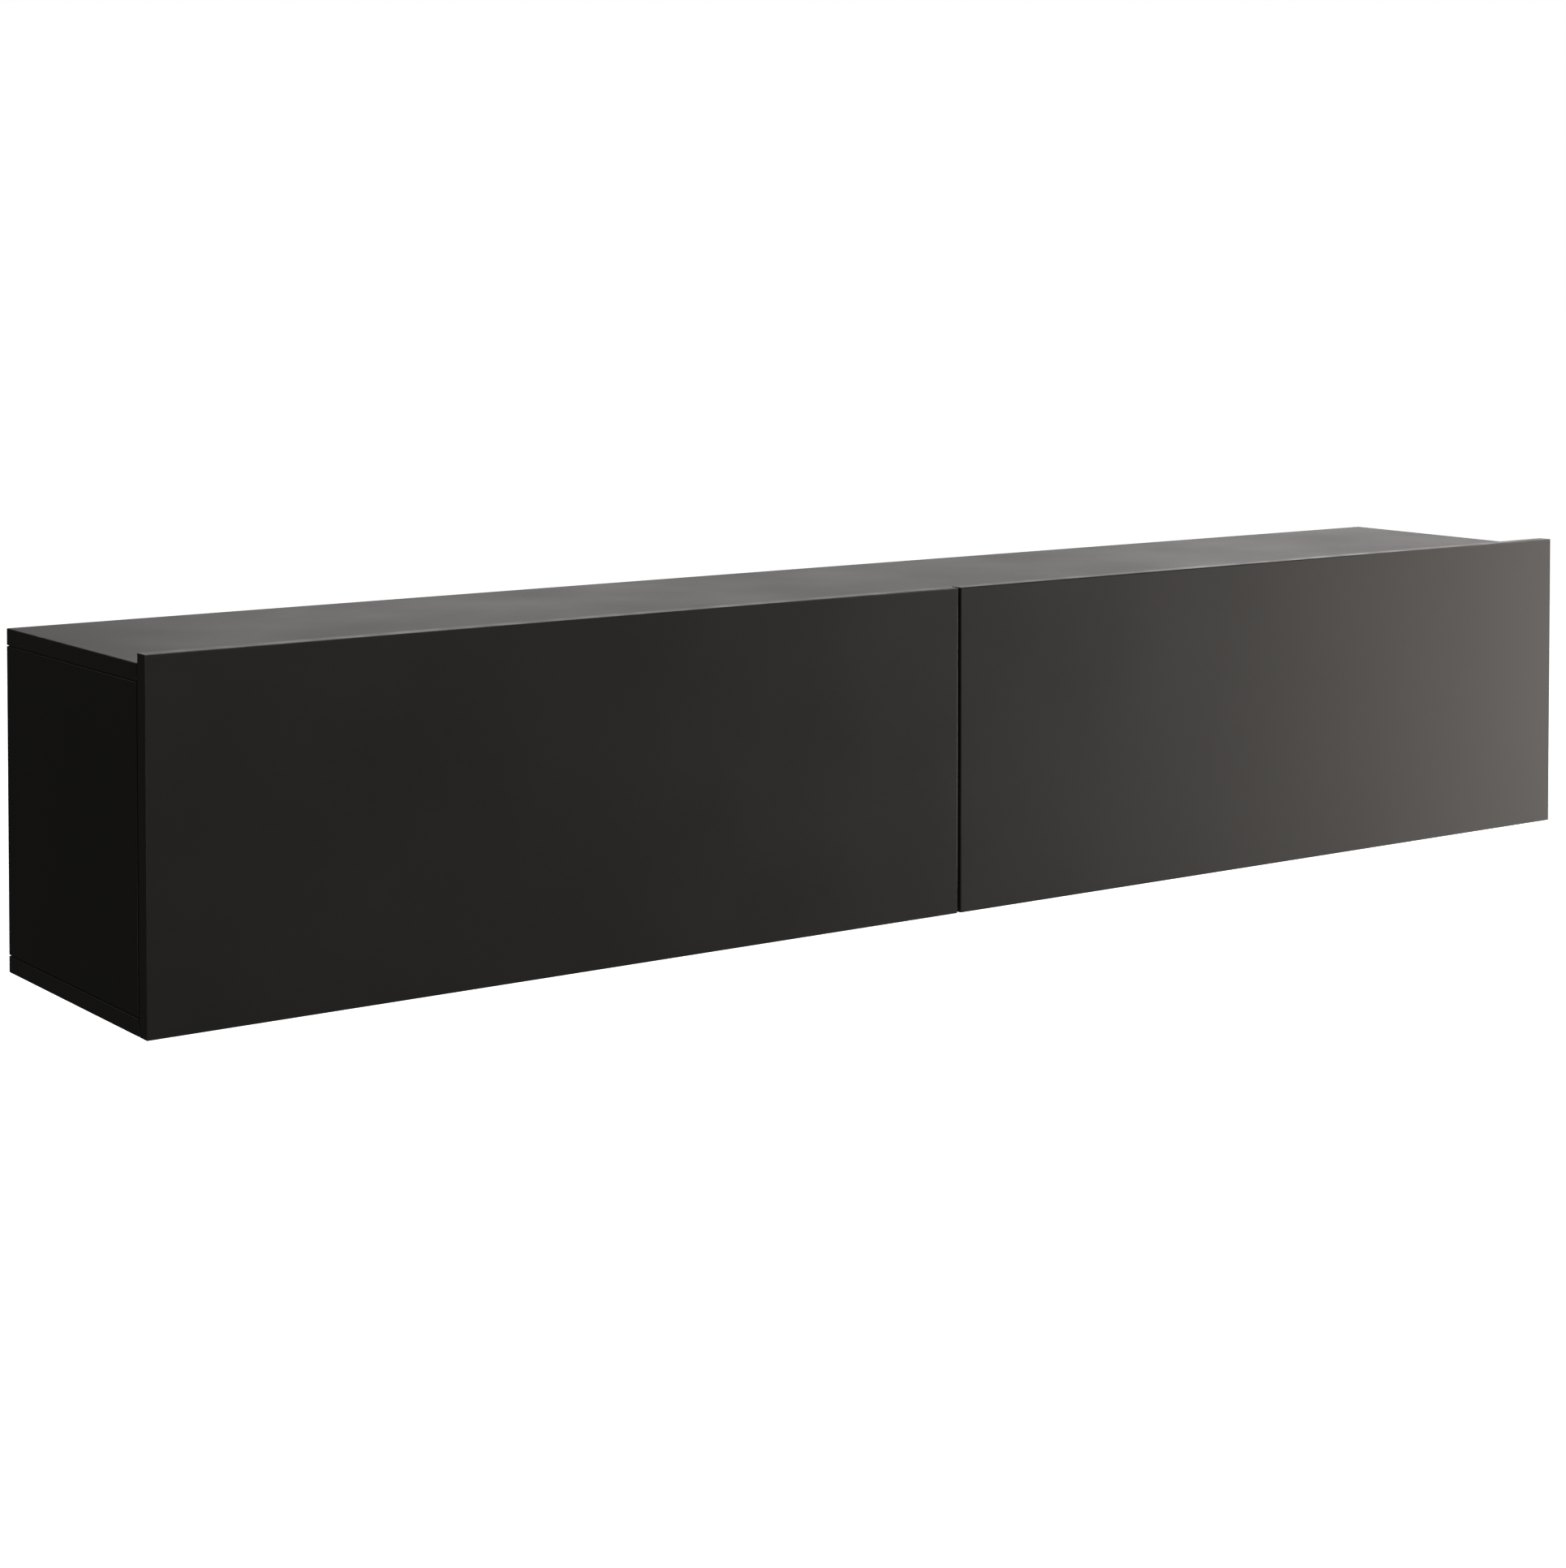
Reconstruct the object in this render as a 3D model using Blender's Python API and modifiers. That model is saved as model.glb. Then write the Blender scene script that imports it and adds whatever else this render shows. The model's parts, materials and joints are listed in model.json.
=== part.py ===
"""Wall-hung lowboard: one carcass with two compartments, each closed by a drop-down flap.

Metres, +Z up, +X right, -Y to the front, the wall at +Y. The origin is at the middle of the
width and depth, at the height of the carcass's underside.
"""

import math

import bmesh
import bpy
from mathutils import Matrix, Vector

# Carcass
WIDTH = 1.800
CARCASS_HEIGHT = 0.328
CARCASS_DEPTH = 0.298
BOARD = 0.016              # thickness of the carcass boards
EDGE_ROUND = 0.0007        # rounding of the edge banding
FIT = 0.0003               # gap between pieces that touch

# Flaps
FLAP_BOARD = 0.016         # thickness
FLAP_GAP = 0.002           # from the flap to the carcass's front edges
CENTRE_GAP = 0.004         # between the two flaps
GRIP_RISE = 0.009          # how far a flap stands above the top panel, as a finger grip
SWING = math.radians(90)   # how far a flap opens
AXIS_IN = 0.005            # flap axis behind the flap's outer face
AXIS_UP = 0.005            # flap axis above the flap's bottom edge

# Back panels
BACK_BOARD = 0.003
BACK_INSET = 0.018         # space behind a back panel, for the wall rails
GROOVE = 0.006             # depth of the groove that holds it
OUTLET_RADIUS = 0.030      # cable outlet
OUTLET_UP = 0.055          # centre of the outlet above the bottom panel

# Cam fittings that hold the boards together
CAM_RADIUS = 0.0072
CAM_DEPTH = 0.012
CAM_FROM_JOINT = 0.024     # from the joint to the cam's centre
CAM_FROM_FRONT = 0.050
CAM_FROM_REAR = 0.070
CAM_SLOT = 0.0016          # width of the screwdriver cross
CAM_SLOT_DEPTH = 0.004

# Flap hinges
HINGE_INSET = 0.110        # from each end of a flap to the hinge's middle
CUP_RADIUS = 0.0172
CUP_WALL = 0.0013
CUP_DEPTH = 0.0115
CUP_EDGE = 0.003           # wood left between the cup's bore and the flap's bottom edge
FLANGE = (0.060, 0.024)    # size of the cup's flange along X and Z
FLANGE_THICK = 0.0011
CUP_PIN = (0.0075, 0.0040)  # cup pin from the flap axis, to the rear and up
LINK_REACH = 2.1           # arm pivot's distance from the flap axis, per size of the cup pin's turn
LINK_BOW = 0.004           # rise of the link's arc
LINK_HALF = 0.0017         # half the link's width
LINK_LANE = (0.0046, 0.0062)  # the link's side plates, from the hinge's middle
LINK_EYE = 0.0024
LINK_PIN = 0.0013
ARM_HALF = 0.0042          # half the width of the arm's neck
ARM_NOSE = 0.0030          # radius of the arm's front end
ARM_BODY = (0.030, 0.082)  # wide part of the arm, from the flap's outer face
ARM_BODY_HALF = 0.0085
ARM_TOP = 0.0020           # the wide part above the neck
PLATE_SCREWS = 0.037       # row of plate screws behind the carcass's front edge
PLATE_SPREAD = 0.032       # between the two plate screws
PLATE_WING = (0.054, 0.018)  # size of the plate's wings along X and Y
PLATE_THICK = 0.0018
PLATE_BLOCK = 0.007        # height of the block that carries the arm
SCREW_HOLE = 0.0022

# Flap stays. P, Q, S and the knee make a parallelogram with the flap axis P.
STAY_FLAP_PIN = (0.019, 0.115)  # Q from the flap axis, to the rear and up
STAY_SIDE_PIN = (0.110, 0.060)  # S from the flap axis
STAY_HALF = 0.006          # half the width of the arms
STAY_PLATE = 0.0025        # thickness of the arms
STAY_PIN = 0.0025
STAY_HEAD = 0.0045
STAY_HEAD_THICK = 0.0010
STAY_BRACKET = (0.050, 0.022)  # size of the side bracket along Y and Z
STAY_FOOT = (0.026, 0.030)     # size of the flap bracket's foot along X and Z

# Hangers and wall rails
HANGER = (0.017, 0.040, 0.056)
HOOK_WIDTH = 0.010
HOOK_THICK = 0.0026
RAIL_DROP = 0.012          # from the underside of the top panel to the rail's upper edge
RAIL_HEIGHT = 0.038
RAIL_LOWER = 0.021         # height of the part that lies on the wall
RAIL_THICK = 0.0020
RAIL_OFFSET = 0.0065       # of the rail's lip from the wall
RAIL_HOLES = 4

# Bump stops
BUMP_RADIUS = 0.004
BUMP_FROM_END = 0.040

ROUND = 32                 # sides of a large circle
SMALL_ROUND = 16           # sides of a small one

# Sizes that follow
DEPTH = FLAP_BOARD + FLAP_GAP + CARCASS_DEPTH
FRONT = -DEPTH / 2
REAR = DEPTH / 2
CARCASS_FRONT = FRONT + FLAP_BOARD + FLAP_GAP
FLAP_BACK = FRONT + FLAP_BOARD
FLAP_HEIGHT = CARCASS_HEIGHT + GRIP_RISE
INSIDE = WIDTH / 2 - BOARD             # inner face of a side panel
FLOOR = BOARD                          # top of the bottom panel
CEILING = CARCASS_HEIGHT - BOARD       # underside of the top panel
BACK_REAR = REAR - BACK_INSET
BACK_FRONT = BACK_REAR - BACK_BOARD
AXIS = Vector((FRONT + AXIS_IN, AXIS_UP))
SIDES = {"left": -1, "right": 1}

parts = None
tools = None


def start():
    """An empty scene with one collection for the pieces and one for what cuts or joins them."""
    global parts, tools
    for old in list(bpy.data.objects):
        bpy.data.objects.remove(old, do_unlink=True)
    parts = bpy.data.collections.new("wall_lowboard")
    tools = bpy.data.collections.new("lowboard_tools")
    bpy.context.scene.collection.children.link(parts)
    bpy.context.scene.collection.children.link(tools)


def finish(name, color, roughness, metallic=0.0):
    material = bpy.data.materials.new(name)
    material.use_nodes = True
    shader = material.node_tree.nodes["Principled BSDF"]
    shader.inputs["Base Color"].default_value = (*color, 1.0)
    shader.inputs["Roughness"].default_value = roughness
    shader.inputs["Metallic"].default_value = metallic
    return material


FINISHES = {
    "laminate": ((0.020, 0.019, 0.018), 0.42, 0.0),
    "hardboard": ((0.030, 0.028, 0.026), 0.60, 0.0),
    "nickel": ((0.62, 0.61, 0.59), 0.28, 1.0),
    "zinc": ((0.55, 0.55, 0.54), 0.40, 1.0),
    "rubber": ((0.10, 0.10, 0.10), 0.55, 0.0),
}


def keep(piece, kind, origin=None):
    """Finishes a piece: its own material, its collection, and its origin where given."""
    color, roughness, metallic = FINISHES[kind]
    piece.data.materials.append(finish(piece.name + "_" + kind, color, roughness, metallic))
    if origin is not None:
        move = Vector(origin) - piece.location
        piece.data.transform(Matrix.Translation(-move))
        piece.location = origin
    parts.objects.link(piece)
    return piece


def tool(shape):
    """Marks a shape that only cuts or joins other pieces."""
    shape.hide_render = True
    shape.display_type = "WIRE"
    tools.objects.link(shape)
    return shape


def block(name, x, y, z, rounding=0.0, segments=2):
    """A box between two values along each axis, with its edges rounded."""
    mesh = bpy.data.meshes.new(name)
    shape = bmesh.new()
    bmesh.ops.create_cube(shape, size=1.0)
    size = Matrix.Diagonal((x[1] - x[0], y[1] - y[0], z[1] - z[0], 1.0))
    bmesh.ops.transform(shape, matrix=size, verts=shape.verts)
    shape.to_mesh(mesh)
    shape.free()
    piece = bpy.data.objects.new(name, mesh)
    piece.location = ((x[0] + x[1]) / 2, (y[0] + y[1]) / 2, (z[0] + z[1]) / 2)
    if rounding:
        bevel = piece.modifiers.new("edges", "BEVEL")
        bevel.width = rounding
        bevel.segments = segments
    return piece


def rod(name, axis, middle, radius, span, sides=SMALL_ROUND):
    """A cylinder along an axis, from span[0] to span[1]. middle gives the other two coordinates."""
    mesh = bpy.data.meshes.new(name)
    shape = bmesh.new()
    bmesh.ops.create_cone(
        shape,
        cap_ends=True,
        segments=sides,
        radius1=radius,
        radius2=radius,
        depth=span[1] - span[0],
    )
    turn = {"X": Matrix.Rotation(math.pi / 2, 4, "Y"), "Y": Matrix.Rotation(math.pi / 2, 4, "X")}
    if axis in turn:
        bmesh.ops.transform(shape, matrix=turn[axis], verts=shape.verts)
    shape.to_mesh(mesh)
    shape.free()
    mesh.shade_smooth()
    mesh.set_sharp_from_angle(angle=math.radians(40))
    piece = bpy.data.objects.new(name, mesh)
    place = list(middle)
    place.insert("XYZ".index(axis), (span[0] + span[1]) / 2)
    piece.location = place
    return piece


def arc(middle, radius, first, last, steps):
    """Points of an arc, angles in radians from +Y towards +Z."""
    angles = [first + (last - first) * i / steps for i in range(steps + 1)]
    return [(middle[0] + radius * math.cos(a), middle[1] + radius * math.sin(a)) for a in angles]


def circle(middle, radius, steps=SMALL_ROUND):
    return arc(middle, radius, 0, 2 * math.pi, steps)[:-1]


def slab(name, outlines, x):
    """A flat piece across X: closed outlines in Y and Z, of which the inner ones are holes."""
    curve = bpy.data.curves.new(name, "CURVE")
    curve.dimensions = "2D"
    curve.fill_mode = "BOTH"
    curve.extrude = (x[1] - x[0]) / 2
    for points in outlines:
        spline = curve.splines.new("POLY")
        spline.points.add(len(points) - 1)
        for place, point in zip(spline.points, points):
            place.co = (point[0], point[1], 0.0, 1.0)
        spline.use_cyclic_u = True
    drawn = bpy.data.objects.new(name + "_outline", curve)
    tools.objects.link(drawn)
    bpy.context.view_layer.update()
    mesh = bpy.data.meshes.new_from_object(drawn.evaluated_get(bpy.context.evaluated_depsgraph_get()))
    bpy.data.objects.remove(drawn)
    mesh.name = name
    stand = Matrix(((0, 0, 1), (1, 0, 0), (0, 1, 0))).to_4x4()
    shape = bmesh.new()
    shape.from_mesh(mesh)
    bmesh.ops.remove_doubles(shape, verts=shape.verts, dist=1e-6)
    bmesh.ops.transform(shape, matrix=stand, verts=shape.verts)
    bmesh.ops.recalc_face_normals(shape, faces=shape.faces)
    shape.to_mesh(mesh)
    shape.free()
    piece = bpy.data.objects.new(name, mesh)
    piece.location.x = (x[0] + x[1]) / 2
    return piece


def combine(piece, operation, *shapes):
    for shape in shapes:
        change = piece.modifiers.new(shape.name, "BOOLEAN")
        change.operation = operation
        change.solver = "EXACT"
        change.object = shape


def cut(piece, *shapes):
    combine(piece, "DIFFERENCE", *shapes)


def join(piece, *shapes):
    combine(piece, "UNION", *shapes)


def turned(point, angle):
    """A point, given from the flap axis, after the flap has opened by an angle."""
    return Vector(
        (
            point[0] * math.cos(angle) - point[1] * math.sin(angle),
            point[0] * math.sin(angle) + point[1] * math.cos(angle),
        )
    )


def bar(start_point, end_point, half, steps=8):
    """Outline of a bar with round ends, in Y and Z."""
    along = Vector(end_point) - Vector(start_point)
    angle = math.atan2(along.y, along.x)
    quarter = math.pi / 2
    return arc(start_point, half, angle + quarter, angle + 3 * quarter, steps) + arc(
        end_point, half, angle - quarter, angle + quarter, steps
    )


def carcass():
    """Top and bottom panels across the whole width, and three uprights between them."""
    depth = (CARCASS_FRONT, REAR)
    between = (FLOOR + FIT, CEILING - FIT)
    across = (-WIDTH / 2, WIDTH / 2)
    top = block("top_panel", across, depth, (CEILING, CARCASS_HEIGHT), EDGE_ROUND)
    bottom = block("bottom_panel", across, depth, (0, BOARD), EDGE_ROUND)
    left = block("side_panel_left", (-WIDTH / 2, -INSIDE), depth, between, EDGE_ROUND)
    right = block("side_panel_right", (INSIDE, WIDTH / 2), depth, between, EDGE_ROUND)
    middle = block("centre_partition", (-BOARD / 2, BOARD / 2), depth, between, EDGE_ROUND)
    for name, sign in SIDES.items():
        groove = tool(back_board(name + "_groove", sign, GROOVE, FIT))
        cut(top, groove)
        cut(bottom, groove)
        cut(middle, groove)
        cut(left if sign < 0 else right, groove)
    cam_fittings(left, -INSIDE, -1, "left")
    cam_fittings(right, INSIDE, 1, "right")
    cam_fittings(middle, -BOARD / 2, 1, "middle")
    for board in (top, bottom, left, right, middle):
        keep(board, "laminate")


def back_board(name, sign, overlap, slack):
    """A back panel's box, reaching into the boards by overlap, and thicker by slack on each face."""
    ends = sorted((sign * (BOARD / 2 - overlap), sign * (INSIDE + overlap)))
    height = (FLOOR - overlap, CEILING + overlap)
    return block(name, ends, (BACK_FRONT - slack, BACK_REAR + slack), height)


def cam_fittings(board, face, sign, name):
    """Four cams in bores of an upright, flush with its face. sign points into the board."""
    rows = {"low": FLOOR + CAM_FROM_JOINT, "high": CEILING - CAM_FROM_JOINT}
    columns = {"front": CARCASS_FRONT + CAM_FROM_FRONT, "rear": REAR - CAM_FROM_REAR}
    for column, y in columns.items():
        for row, z in rows.items():
            title = f"cam_{name}_{column}_{row}"
            deep = face + sign * (CAM_DEPTH + 2 * FIT)
            bore_span = sorted((face - sign * BOARD, deep))
            bore = rod(title + "_bore", "X", (y, z), CAM_RADIUS + FIT, bore_span)
            cut(board, tool(bore))
            cam_span = sorted((face + sign * FIT, face + sign * (FIT + CAM_DEPTH)))
            cam = rod(title, "X", (y, z), CAM_RADIUS, cam_span)
            slot_span = sorted((face - sign * BOARD, face + sign * CAM_SLOT_DEPTH))
            for wide, high in ((CAM_RADIUS * 0.7, CAM_SLOT / 2), (CAM_SLOT / 2, CAM_RADIUS * 0.7)):
                slot = block(title + "_slot", slot_span, (y - wide, y + wide), (z - high, z + high))
                cut(cam, tool(slot))
            keep(cam, "zinc")


def back_panels():
    for name, sign in SIDES.items():
        panel = back_board("back_panel_" + name, sign, GROOVE - FIT, 0)
        through = (BACK_FRONT - BOARD, BACK_REAR + BOARD)
        middle = sign * (BOARD / 2 + INSIDE) / 2
        place = (middle, FLOOR + OUTLET_UP)
        cut(panel, tool(rod(name + "_outlet", "Y", place, OUTLET_RADIUS, through, ROUND)))
        for face, inward in ((sign * INSIDE, -sign), (sign * BOARD / 2, sign)):
            ends = sorted((face - inward * BOARD, face + inward * (HANGER[0] + 2 * FIT)))
            height = (CEILING - RAIL_DROP - HOOK_THICK * 2, CEILING + BOARD)
            cut(panel, tool(block(name + "_notch", ends, through, height)))
        keep(panel, "hardboard")


def flap_ends(sign):
    return sorted((sign * CENTRE_GAP / 2, sign * WIDTH / 2))


def hinge_places(sign):
    ends = flap_ends(sign)
    return {"a": ends[0] + HINGE_INSET, "b": ends[1] - HINGE_INSET}


def flaps():
    """Each flap covers half of the front, with two bores for its hinge cups."""
    for name, sign in SIDES.items():
        ends = flap_ends(sign)
        middle = (ends[0] + ends[1]) / 2
        flap = block("flap_" + name, ends, (FRONT, FLAP_BACK), (0, FLAP_HEIGHT), EDGE_ROUND)
        for x in hinge_places(sign).values():
            span = (FLAP_BACK - CUP_DEPTH - 2 * FIT, FLAP_BACK + BOARD)
            height = CUP_EDGE + CUP_RADIUS + FIT
            bore = rod(name + "_bore", "Y", (x, height), CUP_RADIUS + FIT, span, ROUND)
            cut(flap, tool(bore))
        keep(flap, "laminate", (middle, AXIS.x, AXIS.y))


def hinge_cup(title, x):
    """A cup let into the flap, with a flange and two screw holes."""
    height = CUP_EDGE + FIT + CUP_RADIUS
    face = FLAP_BACK + FIT
    bottom = FLAP_BACK - CUP_DEPTH
    cup = rod(title, "Y", (x, height), CUP_RADIUS, (bottom, face + FLANGE_THICK / 2), ROUND)
    wide = (x - FLANGE[0] / 2, x + FLANGE[0] / 2)
    high = (height - FLANGE[1] / 4, height + 3 * FLANGE[1] / 4)
    flange = block(title + "_flange", wide, (face, face + FLANGE_THICK), high)
    join(cup, tool(flange))
    inner = CUP_RADIUS - CUP_WALL
    hollow = (bottom + CUP_WALL, face + BOARD)
    cut(cup, tool(rod(title + "_hollow", "Y", (x, height), inner, hollow, ROUND)))
    for side in (-1, 1):
        place = (x + side * (CUP_RADIUS + FLANGE[0] / 2) / 2, height + FLANGE[1] / 4)
        hole = rod(title + "_hole", "Y", place, SCREW_HOLE, (face - BOARD, face + BOARD), 12)
        cut(cup, tool(hole))
    keep(cup, "nickel", (x, AXIS.x, AXIS.y))


def link_pivots():
    """The cup pin, and the arm pivot at the same distance from it with the flap closed and open."""
    pin = Vector(CUP_PIN)
    halfway = (pin + turned(pin, SWING)) / 2
    return AXIS + pin, AXIS + halfway * 2 * LINK_REACH


def hinge_link(title, x):
    """Two curved side plates on the cup pin, whose upper ends close over the arm's neck."""
    pin, pivot = link_pivots()
    chord = pivot - pin
    along = chord.normalized()
    across = Vector((-along.y, along.x))
    radius = (chord.length ** 2 / 4 + LINK_BOW ** 2) / (2 * LINK_BOW)
    middle = (pin + pivot) / 2 - across * (radius - LINK_BOW)
    first = math.atan2(pin.y - middle.y, pin.x - middle.x)
    last = math.atan2(pivot.y - middle.y, pivot.x - middle.x)
    if last - first > math.pi:
        last -= 2 * math.pi
    if first - last > math.pi:
        last += 2 * math.pi
    band = arc(middle, radius + LINK_HALF, first, last, 6) + arc(middle, radius - LINK_HALF, last, first, 6)
    plates = []
    for side in (-1, 1):
        lane = sorted((x + side * LINK_LANE[0], x + side * LINK_LANE[1]))
        plates.append(slab(f"{title}_band{side}", [band], lane))
        for label, place in (("foot", pin), ("head", pivot)):
            proud = sorted((x + side * LINK_LANE[0], x + side * (LINK_LANE[1] + FIT)))
            plates.append(rod(f"{title}_{label}{side}", "X", place, LINK_EYE, proud))
    half = math.sqrt((CUP_RADIUS - CUP_WALL) ** 2 - (CUP_EDGE + CUP_RADIUS - pin.y + LINK_PIN) ** 2)
    half -= 4 * FIT
    link = rod(title, "X", pin, LINK_PIN, (x - half, x + half), 12)
    for plate in plates:
        join(link, tool(plate))
    keep(link, "nickel", (x, pin.x, pin.y))


def hinge_arm(title, x):
    """The arm on the bottom panel, with a neck that reaches into the cup's mouth."""
    pivot = link_pivots()[1]
    back = FRONT + ARM_BODY[0]
    quarter = math.pi / 2
    overlap = 0.004
    neck = arc(pivot, ARM_NOSE, quarter, 3 * quarter, 8)
    neck += [(back + overlap, pivot.y - ARM_NOSE), (back + overlap, pivot.y + ARM_NOSE)]
    arm = slab(title, [neck], (x - ARM_HALF, x + ARM_HALF))
    wide = (x - ARM_BODY_HALF, x + ARM_BODY_HALF)
    low = FLOOR + FIT + PLATE_BLOCK + FIT
    body = block(title + "_body", wide, (back, FRONT + ARM_BODY[1]), (low, pivot.y + ARM_NOSE + ARM_TOP), 0.001, 1)
    join(arm, tool(body))
    keep(arm, "nickel")


def hinge_plate(title, x):
    """The mounting plate that two screws hold to the bottom panel."""
    row = CARCASS_FRONT + PLATE_SCREWS
    low = FLOOR + FIT
    wing = block(
        title,
        (x - PLATE_WING[0] / 2, x + PLATE_WING[0] / 2),
        (row - PLATE_WING[1] / 2, row + PLATE_WING[1] / 2),
        (low, low + PLATE_THICK),
    )
    wide = (x - ARM_BODY_HALF + FIT, x + ARM_BODY_HALF - FIT)
    deep = (FRONT + ARM_BODY[0] + BOARD / 4, FRONT + ARM_BODY[1] - BOARD / 4)
    join(wing, tool(block(title + "_block", wide, deep, (low, low + PLATE_BLOCK))))
    for side in (-1, 1):
        place = (x + side * PLATE_SPREAD / 2, row)
        cut(wing, tool(rod(title + "_hole", "Z", place, SCREW_HOLE, (0, CEILING), 12)))
    keep(wing, "zinc")


def lane(sign, near, far):
    """A stretch of X beside a side panel, given by distances from its inner face."""
    return sorted((sign * (INSIDE - near), sign * (INSIDE - far)))


def stay_lanes():
    """Distances from the side panel at which each layer of a stay starts."""
    bracket = FIT
    side_arm = bracket + STAY_PLATE + FIT
    flap_arm = side_arm + STAY_PLATE + FIT
    ear = flap_arm + STAY_PLATE + FIT
    return bracket, side_arm, flap_arm, ear


def flap_stay(name, sign):
    """A brake stay at the outer side: the side arm turns with the flap, the flap arm stays level."""
    bracket_at, side_arm_at, flap_arm_at, ear_at = stay_lanes()
    q = AXIS + Vector(STAY_FLAP_PIN)
    s = AXIS + Vector(STAY_SIDE_PIN)
    knee = s + q - AXIS

    plate = lane(sign, bracket_at, bracket_at + STAY_PLATE)
    half = STAY_BRACKET[1] / 2
    tail = s + Vector((STAY_BRACKET[0] - 2 * half, 0))
    holes = [circle(s + Vector((d, 0)), SCREW_HOLE, 12) for d in (2 * half * 0.8, STAY_BRACKET[0] - 2 * half)]
    bracket = slab("stay_side_bracket_" + name, [bar(s, tail, half)] + holes, plate)
    pivot = lane(sign, bracket_at + STAY_PLATE / 2, flap_arm_at + STAY_HEAD_THICK / 2)
    head = lane(sign, flap_arm_at, flap_arm_at + STAY_HEAD_THICK)
    join(
        bracket,
        tool(rod(name + "_side_pivot", "X", s, STAY_PIN, pivot)),
        tool(rod(name + "_side_head", "X", s, STAY_HEAD, head)),
    )
    keep(bracket, "nickel")

    arm_lane = lane(sign, side_arm_at, side_arm_at + STAY_PLATE)
    eye = STAY_PIN + FIT
    arm = slab("stay_side_arm_" + name, [bar(s, knee, STAY_HALF), circle(s, eye)], arm_lane)
    pivot = lane(sign, side_arm_at + STAY_PLATE / 2, ear_at + STAY_HEAD_THICK / 2)
    head = lane(sign, ear_at, ear_at + STAY_HEAD_THICK)
    join(
        arm,
        tool(rod(name + "_knee_pivot", "X", knee, STAY_PIN, pivot)),
        tool(rod(name + "_knee_head", "X", knee, STAY_HEAD, head)),
    )
    keep(arm, "nickel", (sign * INSIDE, s.x, s.y))

    arm_lane = lane(sign, flap_arm_at, flap_arm_at + STAY_PLATE)
    outline = [bar(q, knee, STAY_HALF), circle(q, eye), circle(knee, eye)]
    keep(slab("stay_flap_arm_" + name, outline, arm_lane), "nickel", (sign * INSIDE, q.x, q.y))

    face = FLAP_BACK + FIT
    ear = [(face, q.y + STAY_HALF), (face, q.y - STAY_HALF)]
    ear += arc(q, STAY_HALF, -math.pi / 2, math.pi / 2, 8)
    foot = slab("stay_flap_bracket_" + name, [ear], lane(sign, ear_at, ear_at + STAY_PLATE))
    base_lane = lane(sign, ear_at, ear_at + STAY_FOOT[0])
    base_height = (q.y - STAY_FOOT[1] / 2, q.y + STAY_FOOT[1] / 2)
    base = block(name + "_foot", base_lane, (face, face + STAY_PLATE * 0.8), base_height)
    pivot = lane(sign, ear_at + STAY_PLATE / 2, flap_arm_at - FIT - STAY_HEAD_THICK / 2)
    head = lane(sign, flap_arm_at - FIT, flap_arm_at - FIT - STAY_HEAD_THICK)
    join(
        foot,
        tool(base),
        tool(rod(name + "_flap_pivot", "X", q, STAY_PIN, pivot)),
        tool(rod(name + "_flap_head", "X", q, STAY_HEAD, head)),
    )
    for step in (-1, 1):
        place = (sign * (INSIDE - ear_at - STAY_FOOT[0] * 0.6), q.y + step * STAY_FOOT[1] / 4)
        cut(foot, tool(rod(name + "_foot_hole", "Y", place, SCREW_HOLE, (face - BOARD, face + BOARD), 12)))
    keep(foot, "nickel", (sign * INSIDE, AXIS.x, AXIS.y))


def wall_rails():
    """A steel rail on the wall behind each compartment, whose lip the hangers hook over."""
    top = CEILING - RAIL_DROP
    low = top - RAIL_HEIGHT
    step = low + RAIL_LOWER
    lip = REAR - RAIL_OFFSET
    profile = [
        (REAR, low),
        (REAR, step),
        (lip, step),
        (lip, top),
        (lip - RAIL_THICK, top),
        (lip - RAIL_THICK, step - RAIL_THICK),
        (REAR - RAIL_THICK, step - RAIL_THICK),
        (REAR - RAIL_THICK, low),
    ]
    for name, sign in SIDES.items():
        ends = sorted((sign * (BOARD / 2 + 2 * FIT), sign * (INSIDE - 2 * FIT)))
        rail = slab("wall_rail_" + name, [profile], ends)
        for i in range(RAIL_HOLES):
            x = ends[0] + (ends[1] - ends[0]) * (i + 0.5) / RAIL_HOLES
            place = (x, low + RAIL_LOWER / 2)
            cut(rail, tool(rod(name + "_rail_hole", "Y", place, 2 * SCREW_HOLE, (0, 2 * REAR), 12)))
        keep(rail, "zinc")


def hanger(title, face, inward):
    """A hanger in an upper rear corner: a housing on an upright and a hook over the rail's lip."""
    x = sorted((face + inward * FIT, face + inward * (FIT + HANGER[0])))
    rear = BACK_FRONT - FIT
    z = (CEILING - FIT - HANGER[2], CEILING - FIT)
    housing = block(title, x, (rear - HANGER[1], rear), z, 0.0015, 1)
    under = CEILING - RAIL_DROP + FIT
    over = under + HOOK_THICK
    inner = REAR - RAIL_OFFSET + FIT
    start_y = rear - HANGER[1] / 4
    tip = under - RAIL_LOWER / 3
    profile = [
        (start_y, under),
        (inner, under),
        (inner, tip),
        (inner + HOOK_THICK, tip),
        (inner + HOOK_THICK, over),
        (start_y, over),
    ]
    middle = (x[0] + x[1]) / 2
    join(housing, tool(slab(title + "_hook", [profile], (middle - HOOK_WIDTH / 2, middle + HOOK_WIDTH / 2))))
    keep(housing, "zinc")


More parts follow.
